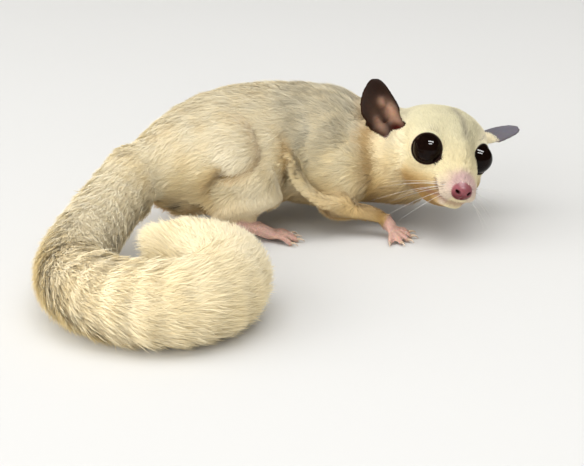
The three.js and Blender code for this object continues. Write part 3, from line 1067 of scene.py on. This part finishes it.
# %% Paint the body
def paint_body(points):
    """Cream above and gold below, a grey cape, a tan crease behind the ear, and pink paws.
    The gold below and the crease are partly painted shade. The throat, the folds and the forearm
    are darkened by painted shade, and the legs and the root of the tail are paler by painted light.
    """
    x, y, z = in_drawing(points).T
    mottle = ripple(points, 5, 1)
    flecks = ripple(points, 1.6, 2)
    colour = np.tile(PAINT["cream"], (len(points), 1))
    colour = brush(colour, "butter", on_body * (0.3 + 0.45 * step(-z, -33, -22) + 0.12 * mottle))
    # Painted light: the first bend of the tail takes less butter, so it is paler where its fur falls
    # into shade
    tail_start = (1 - step(x, -54, -38)) * step(y, -78, -50)
    colour = brush(colour, "butter", on_tail * (0.5 + 0.1 * mottle) * (1 - 0.6 * tail_start))
    # Gold towards the belly: partly the coat's own warmer underside, partly painted shade of the
    # underside
    colour = brush(colour, "gold", on_body * (0.6 * step(-z, -20, -7) + 0.08 * mottle))
    # Painted shade: the forearm, tucked under the body, is painted darker
    colour = brush(colour, "gold", 0.1 * kinds["forearm"])
    # Painted light: the thigh and the shank are painted paler, to lift the shade that falls on them
    colour = brush(colour, "cream", 0.5 * (kinds["thigh"] + kinds["shank"]))
    creases, bulges = flank_folds(points)
    # Painted light: the swell of the thigh and the knee is painted paler still
    colour = brush(colour, "cream", 0.6 * bulges)
    # More painted shade on the forearm
    colour = brush(colour, "painted_shade", 0.4 * kinds["forearm"])
    cape = step(x, -5, 5) * (1 - step(x, 21, 26)) * step(z, 12, 30)
    back = (1 - step(x, -2, 6)) * step(x, -42, -30) * step(z, 29, 41)
    colour = brush(colour, "grey", on_body * (0.55 * cape + 0.2 * back) * (0.75 + 0.45 * flecks))
    # The crease behind the ear is tan: partly the coat's own tone, partly painted shade of the
    # crease
    ear_crease = bell(x - 25.2 + 0.1 * (z - 22), 2.4) * on_body * step(-z, -40, -30)
    colour = brush(colour, "tan_crease_shade", 0.8 * ear_crease * step(-y, -14, 0))
    # Painted shade: the throat under the chin is painted gold and then brown, darkest lowest down
    throat = on_body * step(x, 24, 29) * step(-z, -26, -12)
    colour = brush(colour, "gold", 0.75 * throat)
    colour = brush(colour, "painted_shade", 0.75 * throat * step(-z, -20, -8))
    # Painted shade in the creases of the flank: gold, and brown where they are deepest
    folds = np.minimum(creases / 1.5, 1) * on_body
    colour = brush(colour, "gold", 0.75 * folds)
    colour = brush(colour, "painted_shade", 0.35 * folds**2)
    colour = brush(colour, "paw", step(kinds["foot"] + kinds["hand"], 0.3, 0.75))
    vent = np.sqrt(((x + 31.6) / 1.6) ** 2 + ((z - 10.2) / 2.2) ** 2)
    return brush(colour, "brown", 0.9 * on_body * (1 - step(vent, 0.5, 1.5)) * (y < -8))


# %% Paint the face
def paint_face(colour, points):
    """A grey stripe on the brow, a darker throat, a pink muzzle, and dark roots of whiskers.
    The face is painted a darker cream than the body, and that, the lower cheeks, the throat
    and part of the line of the lips are painted shade.
    """
    f, l, u = in_head(points).T
    # Painted shade: the face is a darker, greyer cream than the body, as its short flat coat casts
    # less shade of its own; less of it on the left side of the head
    colour = brush(colour, "face", on_face * (1 - 0.85 * step(l, 4, 11)))
    colour = brush(colour, "butter", on_face * (0.2 + 0.35 * step(-u, -8, 2)))
    # Painted shade: the lower cheeks and the throat, which face down and away from the light, are
    # gold and then brown
    colour = brush(colour, "gold", on_face * 0.9 * step(-u, 4, 10) * (1 - step(f, 8, 13)))
    colour = brush(colour, "painted_shade", on_face * 0.9 * step(-u, 5, 11) * (1 - step(f, 6, 12)))
    stripe = bell(l - 0.6, 1.0) * step(f, -12, -5) * (1 - step(f, 4.5, 8)) * step(u, 1, 4)
    colour = brush(colour, "grey", 0.85 * stripe)
    pads = step(f, 8.5, 11) * step(-u, 4.0, 6.5) * step(np.abs(l), 1.5, 3)
    colour = brush(colour, "pad", 0.8 * on_face * pads)
    for i in range(WHISKER_ROWS):
        for k in range(WHISKER_COLUMNS):
            spot = (f - 13.6 + 1.5 * k, np.abs(l) - 3.6 - 0.5 * k, u + 6.6 + 1.15 * i - 0.25 * k)
            near_spot = bell(np.sqrt(spot[0] ** 2 + 0.4 * spot[1] ** 2 + spot[2] ** 2), 0.5)
            colour = brush(colour, "lips", 0.9 * on_face * near_spot)
    pink = np.sqrt(((f - 15.5) / 5.5) ** 2 + (l / 4.2) ** 2 + ((u + 5.5) / 4.0) ** 2)
    colour = brush(colour, "muzzle", 0.95 * on_face * (1 - step(pink, 0.55, 1.25)))
    # The dark line of the lips: partly their own colour, partly painted shade of the mouth
    lips = bell(u + 10.6 + 0.12 * (f - 8), 0.8) * step(f, 3, 7)
    return brush(colour, "lips", 0.65 * on_face * lips)


# %% Paint what has no fur
def paint_bare(colour, points):
    """The nose and its nostrils, the dark hollow of the right ear, the left ear, and the lids.
    The underside of the nose, the nostrils and the canal of the ear are darkened by painted shade.
    """
    _, l, u = in_head(points).T
    colour = brush(colour, "nose", nose_leather)
    # Painted shade: the underside of the nose leather is a darker red
    colour = brush(colour, "nose_low", nose_leather * step(-u, 6.4, 9.4))
    # Painted shade: the pressed nostrils are painted near black
    colour = brush(colour, "nostril", nostril)
    x, y, z = in_ear(points, EARS[0])
    here = ears * (l < 0)
    hollow = here * step(x, -0.5, 0.3)
    colour = brush(colour, "ear_dark", here)
    colour = brush(colour, "ear_mid", 0.8 * here * bell(y + 2.5, 3.2) * bell(z - 13, 5))
    fold = bell(y - 2.4, 2.0) * bell(z - 10.8, 3.8)
    fold = np.maximum(fold, 0.65 * bell(y - 1.0, 1.3) * bell(z - 15, 1.8))
    fold = np.maximum(fold, 0.5 * bell(y + 2.8, 1.5) * bell(z - 9.5, 2.6))
    colour = brush(colour, "ear_fold", hollow * fold)
    colour = brush(colour, "muzzle", hollow * step(-z, -6.5, -4))
    # The canal of the ear: its own red, deepened by painted shade of the hole
    colour = brush(colour, "ear_canal", 1.3 * hollow * bell(y - 1.2, 1.6) * bell(z - 6.0, 1.7))
    edge = np.interp(z, EAR_HEIGHTS, EAR_FRONT) - y
    colour = brush(colour, "ear_dark", 0.9 * here * (1 - step(edge, 0.3, 1.1)))
    colour = brush(colour, "ear_pale", ears * (l > 0))
    colour = brush(colour, "lid", step(rim, 0.25, 0.75))
    return brush(colour, "lid", opened)


def add_values(mesh, name, kind, data):
    attribute = mesh.attributes.new(name, kind, "POINT")
    key = {"FLOAT": "value", "FLOAT_COLOR": "color"}[kind]
    attribute.data.foreach_set(key, np.asarray(data, np.float32).ravel())


coat_colours = paint_face(paint_body(points), points)
colours = paint_bare(coat_colours, points)
add_values(skin.data, "colour", "FLOAT_COLOR", np.column_stack([colours, np.ones(len(points))]))
print("mean colour of the skin:", colours.mean(axis=0).round(3).tolist())

# %% [markdown]
# ## Skin materials
# Bare skin lets a little light in, so it glows at thin places, and its finest folds are a bump.
# The nose is damp and has a sharper gleam. Skin under the coat is matte, as it only has to fill
# the gaps between hairs. One function makes all three, so they differ only in their measures.


# %% Skin materials
def skin_material(name, roughness, gleam, inner_light, bump_size, bump_depth):
    """The size and depth of the bumps are in mm."""
    material = new_material(name)
    where = add(material, "ShaderNodeTexCoord")
    colour = add(material, "ShaderNodeAttribute", {"attribute_name": "colour"})
    pores = add(
        material,
        "ShaderNodeTexNoise",
        Vector=where.outputs["Object"],
        Scale=1000 / bump_size,
        Detail=3.0,
    )
    shade = add(
        material,
        "ShaderNodeMix",
        {"data_type": "RGBA", "blend_type": "MULTIPLY"},
        _0=0.35,
        _6=colour.outputs["Color"],
        _7=pores.outputs["Color"],
    )
    grain = add(
        material,
        "ShaderNodeBump",
        Height=pores.outputs["Fac"],
        Strength=0.5,
        Distance=bump_depth * MM,
    )
    surface = add(
        material,
        "ShaderNodeBsdfPrincipled",
        Base_Color=shade.outputs[2],
        Roughness=roughness,
        Normal=grain.outputs["Normal"],
        Specular_IOR_Level=gleam,
        Subsurface_Weight=inner_light,
        Subsurface_Radius=(1.0, 0.35, 0.2),
        Subsurface_Scale=1.2 * MM,
    )
    add(material, "ShaderNodeOutputMaterial", Surface=surface.outputs[0])
    return material


skin.data.materials.clear()
# Dull and closed: it looks like more fur deep between the hairs
skin.data.materials.append(skin_material("skin under the coat", 0.85, 0.04, 0.0, 1.2, 0.05))
# Soft and fleshy, with fine wrinkles, and warm where light comes through
skin.data.materials.append(skin_material("bare skin", 0.6, 0.04, 0.3, 0.7, 0.12))
# Pebbled and moist, so that it catches small highlights
skin.data.materials.append(skin_material("damp nose leather", 0.34, 0.12, 0.25, 0.35, 0.08))
bare_skin = np.maximum(ears, step(kinds["foot"] + kinds["hand"], 0.3, 0.6))
bare_skin = np.maximum(bare_skin, rim)[triangles].mean(axis=1) > 0.5
on_nose = nose_leather[triangles].mean(axis=1) > 0.5
finish_number = np.where(on_nose, 2, np.where(bare_skin, 1, 0)).astype(np.int32)
skin.data.polygons.foreach_set("material_index", finish_number)
shade_smooth(skin.data)
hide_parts(*flesh_nodes, "ear_right", "ear_left")
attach(skin, "root")
print("skin finishes:", np.bincount(finish_number).tolist(), "triangles each")

# %% [markdown]
# ## Fur
# Real fur is dry and matte, with a faint sheen at grazing light. Each tuft has a shade of its
# own: most are close to the skin's colour, a few are darker or lighter. A hair is a little
# deeper in colour at the root, where less light reaches it, and pale at the tip. These two
# differences are numbers that each tuft will carry, so the pattern can't slide on it.

# %% Coat material
coat_material = new_material("soft matte fur")  # soft to the eye: no gleam, and a pale edge
own_colour = add(coat_material, "ShaderNodeAttribute", {"attribute_name": "colour"})
chance = add(coat_material, "ShaderNodeAttribute", {"attribute_name": "chance"})
tip = add(coat_material, "ShaderNodeAttribute", {"attribute_name": "tip"})
brightness = add(
    coat_material,
    "ShaderNodeMapRange",
    Value=chance.outputs["Fac"],
    To_Min=0.92,
    To_Max=1.07,
)
depth_shade = add(
    coat_material,
    "ShaderNodeMapRange",
    Value=tip.outputs["Fac"],
    To_Min=0.95,
    To_Max=1.04,
)
level = add(
    coat_material,
    "ShaderNodeMath",
    {"operation": "MULTIPLY"},
    _0=brightness.outputs[0],
    _1=depth_shade.outputs[0],
)
tinted = add(
    coat_material,
    "ShaderNodeHueSaturation",
    Value=level.outputs[0],
    Color=own_colour.outputs["Color"],
)
hair = add(
    coat_material,
    "ShaderNodeBsdfPrincipled",
    Base_Color=tinted.outputs[0],
    Roughness=0.72,
    Specular_IOR_Level=0.05,
    Sheen_Weight=0.25,
)
add(coat_material, "ShaderNodeOutputMaterial", Surface=hair.outputs[0])
print("material:", coat_material.name)

# %% [markdown]
# ## The coat
# Fur could be made of hair curves, but a model that other programs can open needs real mesh. So
# each tuft is a thin curved blade of two faces, rooted in the skin. It rises steeply, then bends
# over and runs along the lie of the coat, and it reaches the outline that the frame gives.
# Neighbouring tufts lean together into soft locks.

# %% Pick the roots
skin_normals = normals_of(skin.data)
a, b, c = points[triangles].transpose(1, 0, 2)
triangle_areas = np.linalg.norm(np.cross(b - a, c - a), axis=1) / 2 / MM**2


def roots(weight, count):
    """Places picked on the skin, more of them where the weight is high: triangle and shares."""
    chance = triangle_areas * weight[triangles].mean(axis=1)
    pick = dice.choice(len(triangles), count, p=chance / chance.sum())
    return pick, corner_shares(count)


def at_roots(values, pick, shares):
    return np.einsum("tk,tk...->t...", shares, values[triangles[pick]])


print("skin to grow on:", round(triangle_areas.sum()), "square mm")

# %% Shape the tufts
BLADE_STEPS = np.array([0.0, 0.45, 1.0])  # shares of a blade's length
BLADE_WIDTHS = np.array([0.85, 1.0])  # shares of its width, before the tip
BLADE_ARCH = 2.0  # how quickly it rises at first
LOWEST_HAIR = 0.1  # mm above the floor


def tuft_shapes(pick, shares, width, messy, sink):
    """The five corners of each tuft: two on its left side, two on its right, and the tip."""
    count = len(pick)
    root = at_roots(points, pick, shares)
    out = unit(at_roots(skin_normals, pick, shares))
    along = at_roots(lie, pick, shares)
    along = unit(along - out * (along * out).sum(axis=1)[:, None])
    across = np.cross(along, out)
    lean = messy * (0.55 * ripple(root, 4.5, 5) + 0.4 * ripple(root, 1.6, 6))
    lean += messy * 0.9 * dice.normal(size=count)
    along = unit(along + across * lean[:, None])
    roll = dice.uniform(-0.5, 0.5, count)
    across = np.cross(along, out)
    across = across * np.cos(roll)[:, None] + out * np.sin(roll)[:, None]
    clump = 1 + 0.08 * ripple(root, 2.6, 7)
    rise = at_roots(depth, pick, shares) * clump * dice.uniform(0.5, 1.05, count)
    run = at_roots(length, pick, shares) * dice.uniform(0.75, 1.15, count)
    run = run * (1 + 0.12 * ripple(root, 4, 8))
    s = BLADE_STEPS[None, :, None]
    height = rise[:, None, None] * (1 - (1 - s) ** BLADE_ARCH) - sink * (1 - s)
    rising = out[:, None] * height + along[:, None] * (run[:, None, None] * s)
    midrib = root[:, None] + MM * rising
    midrib[..., 2] = np.maximum(midrib[..., 2], LOWEST_HAIR * MM)
    half = width / 2 * dice.uniform(0.7, 1.3, count)[:, None] * BLADE_WIDTHS[None]
    side = across[:, None] * (half * MM)[..., None]
    return np.concatenate([midrib[:, :2] - side, midrib[:, :2] + side, midrib[:, 2:]], axis=1)


# %% Join the tufts
# There are half a million blades, so their faces are made at once and not by one operator each
STEP_OF_CORNER = [0, 1, 0, 1, 2]
BLADE_FACES = (0, 2, 3, 1, 1, 3, 4)  # four corners of the blade, then three of the tip
PATCH = 0.003  # a tuft's size on the flat map
CORNERS_ON_MAP = np.array([[0, 0], [0, 0.45], [1, 0], [1, 0.45], [0.5, 1]]) - 0.5


def joined_tufts(name, corners, uv):
    """One mesh of many tufts, each with a face of four corners and one of three."""
    first = np.arange(len(corners))[:, None]
    loops = (first * 5 + np.array(BLADE_FACES)).astype(np.int32).ravel()
    mesh = bpy.data.meshes.new(name)
    mesh.vertices.add(len(corners) * 5)
    mesh.vertices.foreach_set("co", corners.astype(np.float32).ravel())
    mesh.loops.add(len(loops))
    mesh.loops.foreach_set("vertex_index", loops)
    mesh.polygons.add(len(corners) * 2)
    face_starts = (first * 7 + np.array([0, 4])).astype(np.int32).ravel()
    mesh.polygons.foreach_set("loop_start", face_starts)
    mesh.update(calc_edges=True)
    mesh.validate()
    patch_uv = uv[:, None] + CORNERS_ON_MAP[None] * PATCH
    layer = mesh.uv_layers.new(name="OFBake")
    layer.data.foreach_set("uv", patch_uv.reshape(-1, 2)[loops].astype(np.float32).ravel())
    return mesh


def coat_piece(name, weight, count, width, messy, sink=0.15):
    """One joined piece of tufts. Width and sink are in mm, and messy is the spread of their lie."""
    pick, shares = roots(weight, count)
    uv = np.einsum("tk,tkc->tc", shares, triangle_uvs[pick])
    corners = tuft_shapes(pick, shares, width, messy, sink)
    mesh = joined_tufts(name, corners, uv)
    shade_smooth(mesh)
    colour = np.column_stack([at_roots(coat_colours, pick, shares), np.ones(count)])
    add_values(mesh, "colour", "FLOAT_COLOR", np.repeat(colour, 5, axis=0))
    add_values(mesh, "chance", "FLOAT", np.repeat(dice.random(count), 5))
    add_values(mesh, "tip", "FLOAT", np.tile(BLADE_STEPS[STEP_OF_CORNER], count))
    mesh.materials.append(coat_material)
    piece = bpy.data.objects.new(name, mesh)
    bpy.context.collection.objects.link(piece)
    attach(piece, "root")
    print(name, count * 3, "triangles")


# %% Coat, part by part
unless_open = 1 - np.maximum(opened, step(rim, 0.1, 0.4))
haired = (1 - ears) * unless_open * (1 - nose_leather)
tail = step(kinds["tail"], 0.05, 0.95)
head = step(kinds["head"] + kinds["muzzle"] + kinds["lower_jaw"], 0.3, 0.7)
paw = step(kinds["foot"] + kinds["hand"], 0.4, 0.8)
limb = step(kinds["shank"] + kinds["forearm"], 0.3, 0.7)
trunk = (1 - tail) * (1 - head) * (1 - paw) * (1 - limb)
sparse = 0.12 * paw

for i in range(3):
    coat_piece(f"coat_tail_{i + 1}", tail * haired, 55000, 0.27, messy=0.25)
for i in range(3):
    coat_piece(f"coat_body_{i + 1}", trunk * haired, 66000, 0.25, messy=0.24)
coat_piece("coat_head", head * haired, 66000, 0.17, messy=0.14, sink=0.08)
coat_piece("coat_legs", (limb + sparse) * haired, 46000, 0.18, messy=0.2, sink=0.08)

# %% [markdown]
# ## Whiskers
# Whiskers are single stiff hairs, longer and thicker than fur. White ones stand in rows on each
# side of the muzzle and sweep out and down. Short dark ones grow in front of them and over the
# eyes. As there are few of them, each can be a thin tapered tube.


# %% One whisker
LOWEST_WHISKER = 0.2  # mm above the floor
skin_tree = tree_of(points)
print("roots to choose from:", len(points))


def bristle(bm, place, heading, droop, length, radius):
    """A tapered hair from the skin nearest to a place, directions on the head, lengths in mm."""
    root = np.array(skin_tree.find(place)[0])
    heading = unit(np.array(heading) @ HEAD_AXES)
    droop = np.array(droop) @ HEAD_AXES
    t = np.linspace(0, 1, 8)[:, None]
    run = root + length * MM * (heading * (t - 0.02) + droop * t**2)
    run[:, 2] = np.maximum(run[:, 2], LOWEST_WHISKER * MM)
    one = bmesh.new()
    tube(one, run, radius * MM * (1 - 0.9 * t[:, 0]), sides=5)
    pour(bm, one)


# %% Rows of whiskers
WHITE, DARK, BROW = "#f2efe8", "#7d624c", "#8f775c"
whisker_bm = bmesh.new()
whisker_colours = []
for side in (-1, 1):
    for row in range(WHISKER_ROWS):
        for column in range(WHISKER_COLUMNS):
            place = on_head(13.4 - 1.5 * column, side * (3.6 + 0.5 * column), -6.4 - 1.1 * row)
            sweep = np.array([0.3 - 0.28 * column, side, -0.08 - 0.2 * row])
            sweep += dice.normal(0, 0.07, 3)
            if column and (row + column) % 3:
                long = (9 + 4 * column) * dice.uniform(0.8, 1.1)
                droop = (-0.12, 0, -0.16 - 0.03 * row)
                bristle(whisker_bm, place, sweep, droop, long, 0.06)
                whisker_colours.append(WHITE)
            for _ in range(3):
                start = place + dice.normal(0, 0.35, 3) * MM
                back = sweep * (1, 0.8, 0.6) + (-0.7, 0, 0)
                bristle(whisker_bm, start, back, (-0.2, 0, -0.1), dice.uniform(1.6, 2.6), 0.07)
                whisker_colours.append(DARK)
    for k in range(4):
        place = on_head(1.6 - 0.5 * k, side * (6.4 + 0.6 * k), 5.4)
        up = (0.25 - 0.2 * k, side * 0.5, 0.8)
        bristle(whisker_bm, place, up, (-0.3, 0, 0), dice.uniform(2.0, 3.4), 0.05)
        whisker_colours.append(BROW)
whiskers = new_object("whiskers", whisker_bm)
shade_smooth(whiskers.data)
print("whiskers:", len(whisker_colours), "hairs,", len(whiskers.data.polygons), "faces")

# %% Whisker material
each = len(whiskers.data.vertices) // len(whisker_colours)
shades = np.repeat([linear(code) for code in whisker_colours], each, axis=0)
add_values(whiskers.data, "colour", "FLOAT_COLOR", shades)
whisker_material = new_material("stiff glossy whisker")  # a thin bright line, with faint streaks
where = add(whisker_material, "ShaderNodeTexCoord")
own_colour = add(whisker_material, "ShaderNodeAttribute", {"attribute_name": "colour"})
streaks = add(
    whisker_material,
    "ShaderNodeTexNoise",
    Vector=where.outputs["Object"],
    Scale=1000 / 1.5,
)
streaked = add(
    whisker_material,
    "ShaderNodeMix",
    {"data_type": "RGBA", "blend_type": "MULTIPLY"},
    _0=0.3,
    _6=own_colour.outputs["Color"],
    _7=streaks.outputs["Color"],
)
stiff = add(
    whisker_material,
    "ShaderNodeBsdfPrincipled",
    Base_Color=streaked.outputs[2],
    Roughness=0.4,
)
add(whisker_material, "ShaderNodeOutputMaterial", Surface=stiff.outputs[0])
whiskers.data.materials.append(whisker_material)
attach(whiskers, "root")
print("material:", whisker_material.name)

# %% [markdown]
# ## Finishes of two colours
# Horn, the iris and the floor each wander between two close colours, one darker and one paler,
# in patches of a size that belongs to them. A single flat colour would look like plastic.


# %% A mottled finish
def mottled_finish(name, patch_size, dark, pale, detail=2.0, **surface):
    """A material between two colours, in patches of about that size in mm."""
    material = new_material(name)
    where = add(material, "ShaderNodeTexCoord")
    patches = add(
        material,
        "ShaderNodeTexNoise",
        Vector=where.outputs["Object"],
        Scale=1000 / patch_size,
        Detail=detail,
    )
    shade = add(
        material,
        "ShaderNodeMix",
        {"data_type": "RGBA"},
        _0=patches.outputs["Fac"],
        _6=linear(dark),
        _7=linear(pale),
    )
    look = add(material, "ShaderNodeBsdfPrincipled", Base_Color=shade.outputs[2], **surface)
    add(material, "ShaderNodeOutputMaterial", Surface=look.outputs[0])
    return material


# %% [markdown]
# ## Claws
# Each digit but the big toe ends in a curved claw of pale horn, which this climber hooks into
# bark. A claw is a cone that starts inside the pad, arches over its end and comes down to a fine
# point. A tube along a short curve gives that at once, with rings that shrink towards the tip.

# %% Claws
# Horn is hard and worn smooth, so each claw shows a soft gleam along its back
claw_material = mottled_finish("pale horn", 0.8, "#a98a6c", "#e2cdb2", Roughness=0.35)
CLAW_REACH = 2.3  # mm
CLAW_ARCH = 0.45  # mm that it rises over the pad
CLAW_DROP = 0.75  # mm that its tip comes down
CLAW_TIP = 0.05  # mm, its radius at the tip
CLAW_THICKER = 0.4  # mm that the radius grows towards the root
t = np.linspace(0, 1, 9)
claw_radii = MM * (CLAW_TIP + CLAW_THICKER * (1 - t) ** 0.75)
for node in ("hand_right", "hand_left", "foot_right", "foot_left"):
    claw_bm = bmesh.new()
    for start, ahead, reach, radius in digits_of(node):
        forward = reach * 0.92 + radius * 0.35 + CLAW_REACH * t
        upward = radius + CLAW_ARCH * np.sin(math.pi * t * 0.8) - CLAW_DROP * t**2
        run = start + MM * (ahead * forward[:, None] + np.array([0, 0, 1]) * upward[:, None])
        one = bmesh.new()
        tube(one, run, claw_radii, sides=10)
        pour(claw_bm, one)
    piece = new_object(f"claws_{node}", claw_bm)
    shade_smooth(piece.data)
    piece.data.materials.append(claw_material)
    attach(piece, "root")
print("claws on four paws")

# %% [markdown]
# ## Eyes
# The eyes are almost all pupil, as this is an animal of the night. Each is one glossy ball that
# stands in its lids, with the clear front of the eye bulging a little. A real eye has a clear
# shell over a dark iris. As this iris is nearly black, one wet dark surface looks the same.

# %% Eyes
# Wet and nearly black, so the eye sees only the sharp glints of the lamps
eye_material = mottled_finish(
    "wet black eye",
    1.5,
    "#050303",
    "#1c100b",
    detail=4.0,
    Roughness=0.02,
    IOR=1.38,
    Specular_IOR_Level=0.15,
)
BULGE = 0.8  # mm by which the clear front stands out
BULGE_FROM = 0.55  # cosine of the angle from its middle to where the bulge begins
BULGE_SPAN = 0.45  # and what is left of it up to the middle
for side, word in ((-1, "right"), (1, "left")):
    ball = bmesh.new()
    eye = on_head(0, side * EYE_APART, 0)
    bmesh.ops.create_uvsphere(ball, u_segments=64, v_segments=40, radius=EYE_RADIUS * MM)
    axis = Vector(unit(np.array(EYE_LOOKS[side]) @ HEAD_AXES))
    for v in ball.verts:
        towards_front = max(v.co.normalized().dot(axis) - BULGE_FROM, 0)
        v.co += axis * BULGE * MM * towards_front / BULGE_SPAN
        v.co += Vector(eye)
    piece = new_object(f"eyeball_{word}", ball)
    shade_smooth(piece.data)
    piece.data.materials.append(eye_material)
    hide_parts(f"eye_{word}")
    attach(piece, "root")
print("two eyes, radius", EYE_RADIUS, "mm")

# %% [markdown]
# ## Floor and light
# A plain pale floor and a soft studio. Two narrow lamps high up on the right give each eye its
# glints, and nothing else. The big soft lamps light the coat, and are hidden from reflections,
# so that the eyes stay dark.

# %% Floor
FLOOR_HALF = 4  # metres
floor_bm = bmesh.new()
bmesh.ops.create_grid(floor_bm, x_segments=1, y_segments=1, size=FLOOR_HALF)
floor = new_object("floor", floor_bm)
# Paper without a shine, its clouds too faint to draw the eye
floor_material = mottled_finish(
    "pale matte studio floor", 1000 / 3, "#d2d1ce", "#d7d6d4", Roughness=0.9
)
floor.data.materials.append(floor_material)
print("floor:", 2 * FLOOR_HALF, "m across")


# %% Lamps
def lamp(name, direction, distance, size, power, glints):
    """An area lamp that faces the head, its width level."""
    data = bpy.data.lights.new(name, "AREA")
    data.shape = "RECTANGLE"
    data.size, data.size_y = size
    data.energy = power
    holder = bpy.data.objects.new(name, data)
    aim = unit(direction)
    level = unit(np.array([1.0, 0, 0]) - aim * aim[0])
    place = between_eyes + aim * distance
    holder.matrix_world = axes_matrix(place, level, np.cross(aim, level), aim)
    holder.visible_glossy = glints
    holder.visible_diffuse = not glints
    bpy.context.collection.objects.link(holder)


lamp("window", (0.34, -0.18, 0.92), 1.0, (0.62, 0.16), 24.0, True)
lamp("lower window", (0.31, -0.49, 0.80), 1.0, (0.42, 0.11), 14.0, True)
lamp("top", (-0.1, -0.15, 1.0), 1.2, (1.2, 1.0), 9.0, False)
lamp("front", (-0.8, -1.0, 0.3), 1.4, (1.6, 1.0), 15.0, False)
lamp("left", (-1.0, -0.15, 0.5), 1.4, (1.2, 1.0), 8.0, False)

# %% Light from all around
world = bpy.data.worlds.new("studio")
bpy.context.scene.world = world
world.use_nodes = True
sky = world.node_tree.nodes["Background"]
sky.inputs["Color"].default_value = linear("#eeeeec")
sky.inputs["Strength"].default_value = 0.64
world.cycles_visibility.glossy = False
bpy.context.scene.view_settings.view_transform = "Standard"
print("world:", world.name)
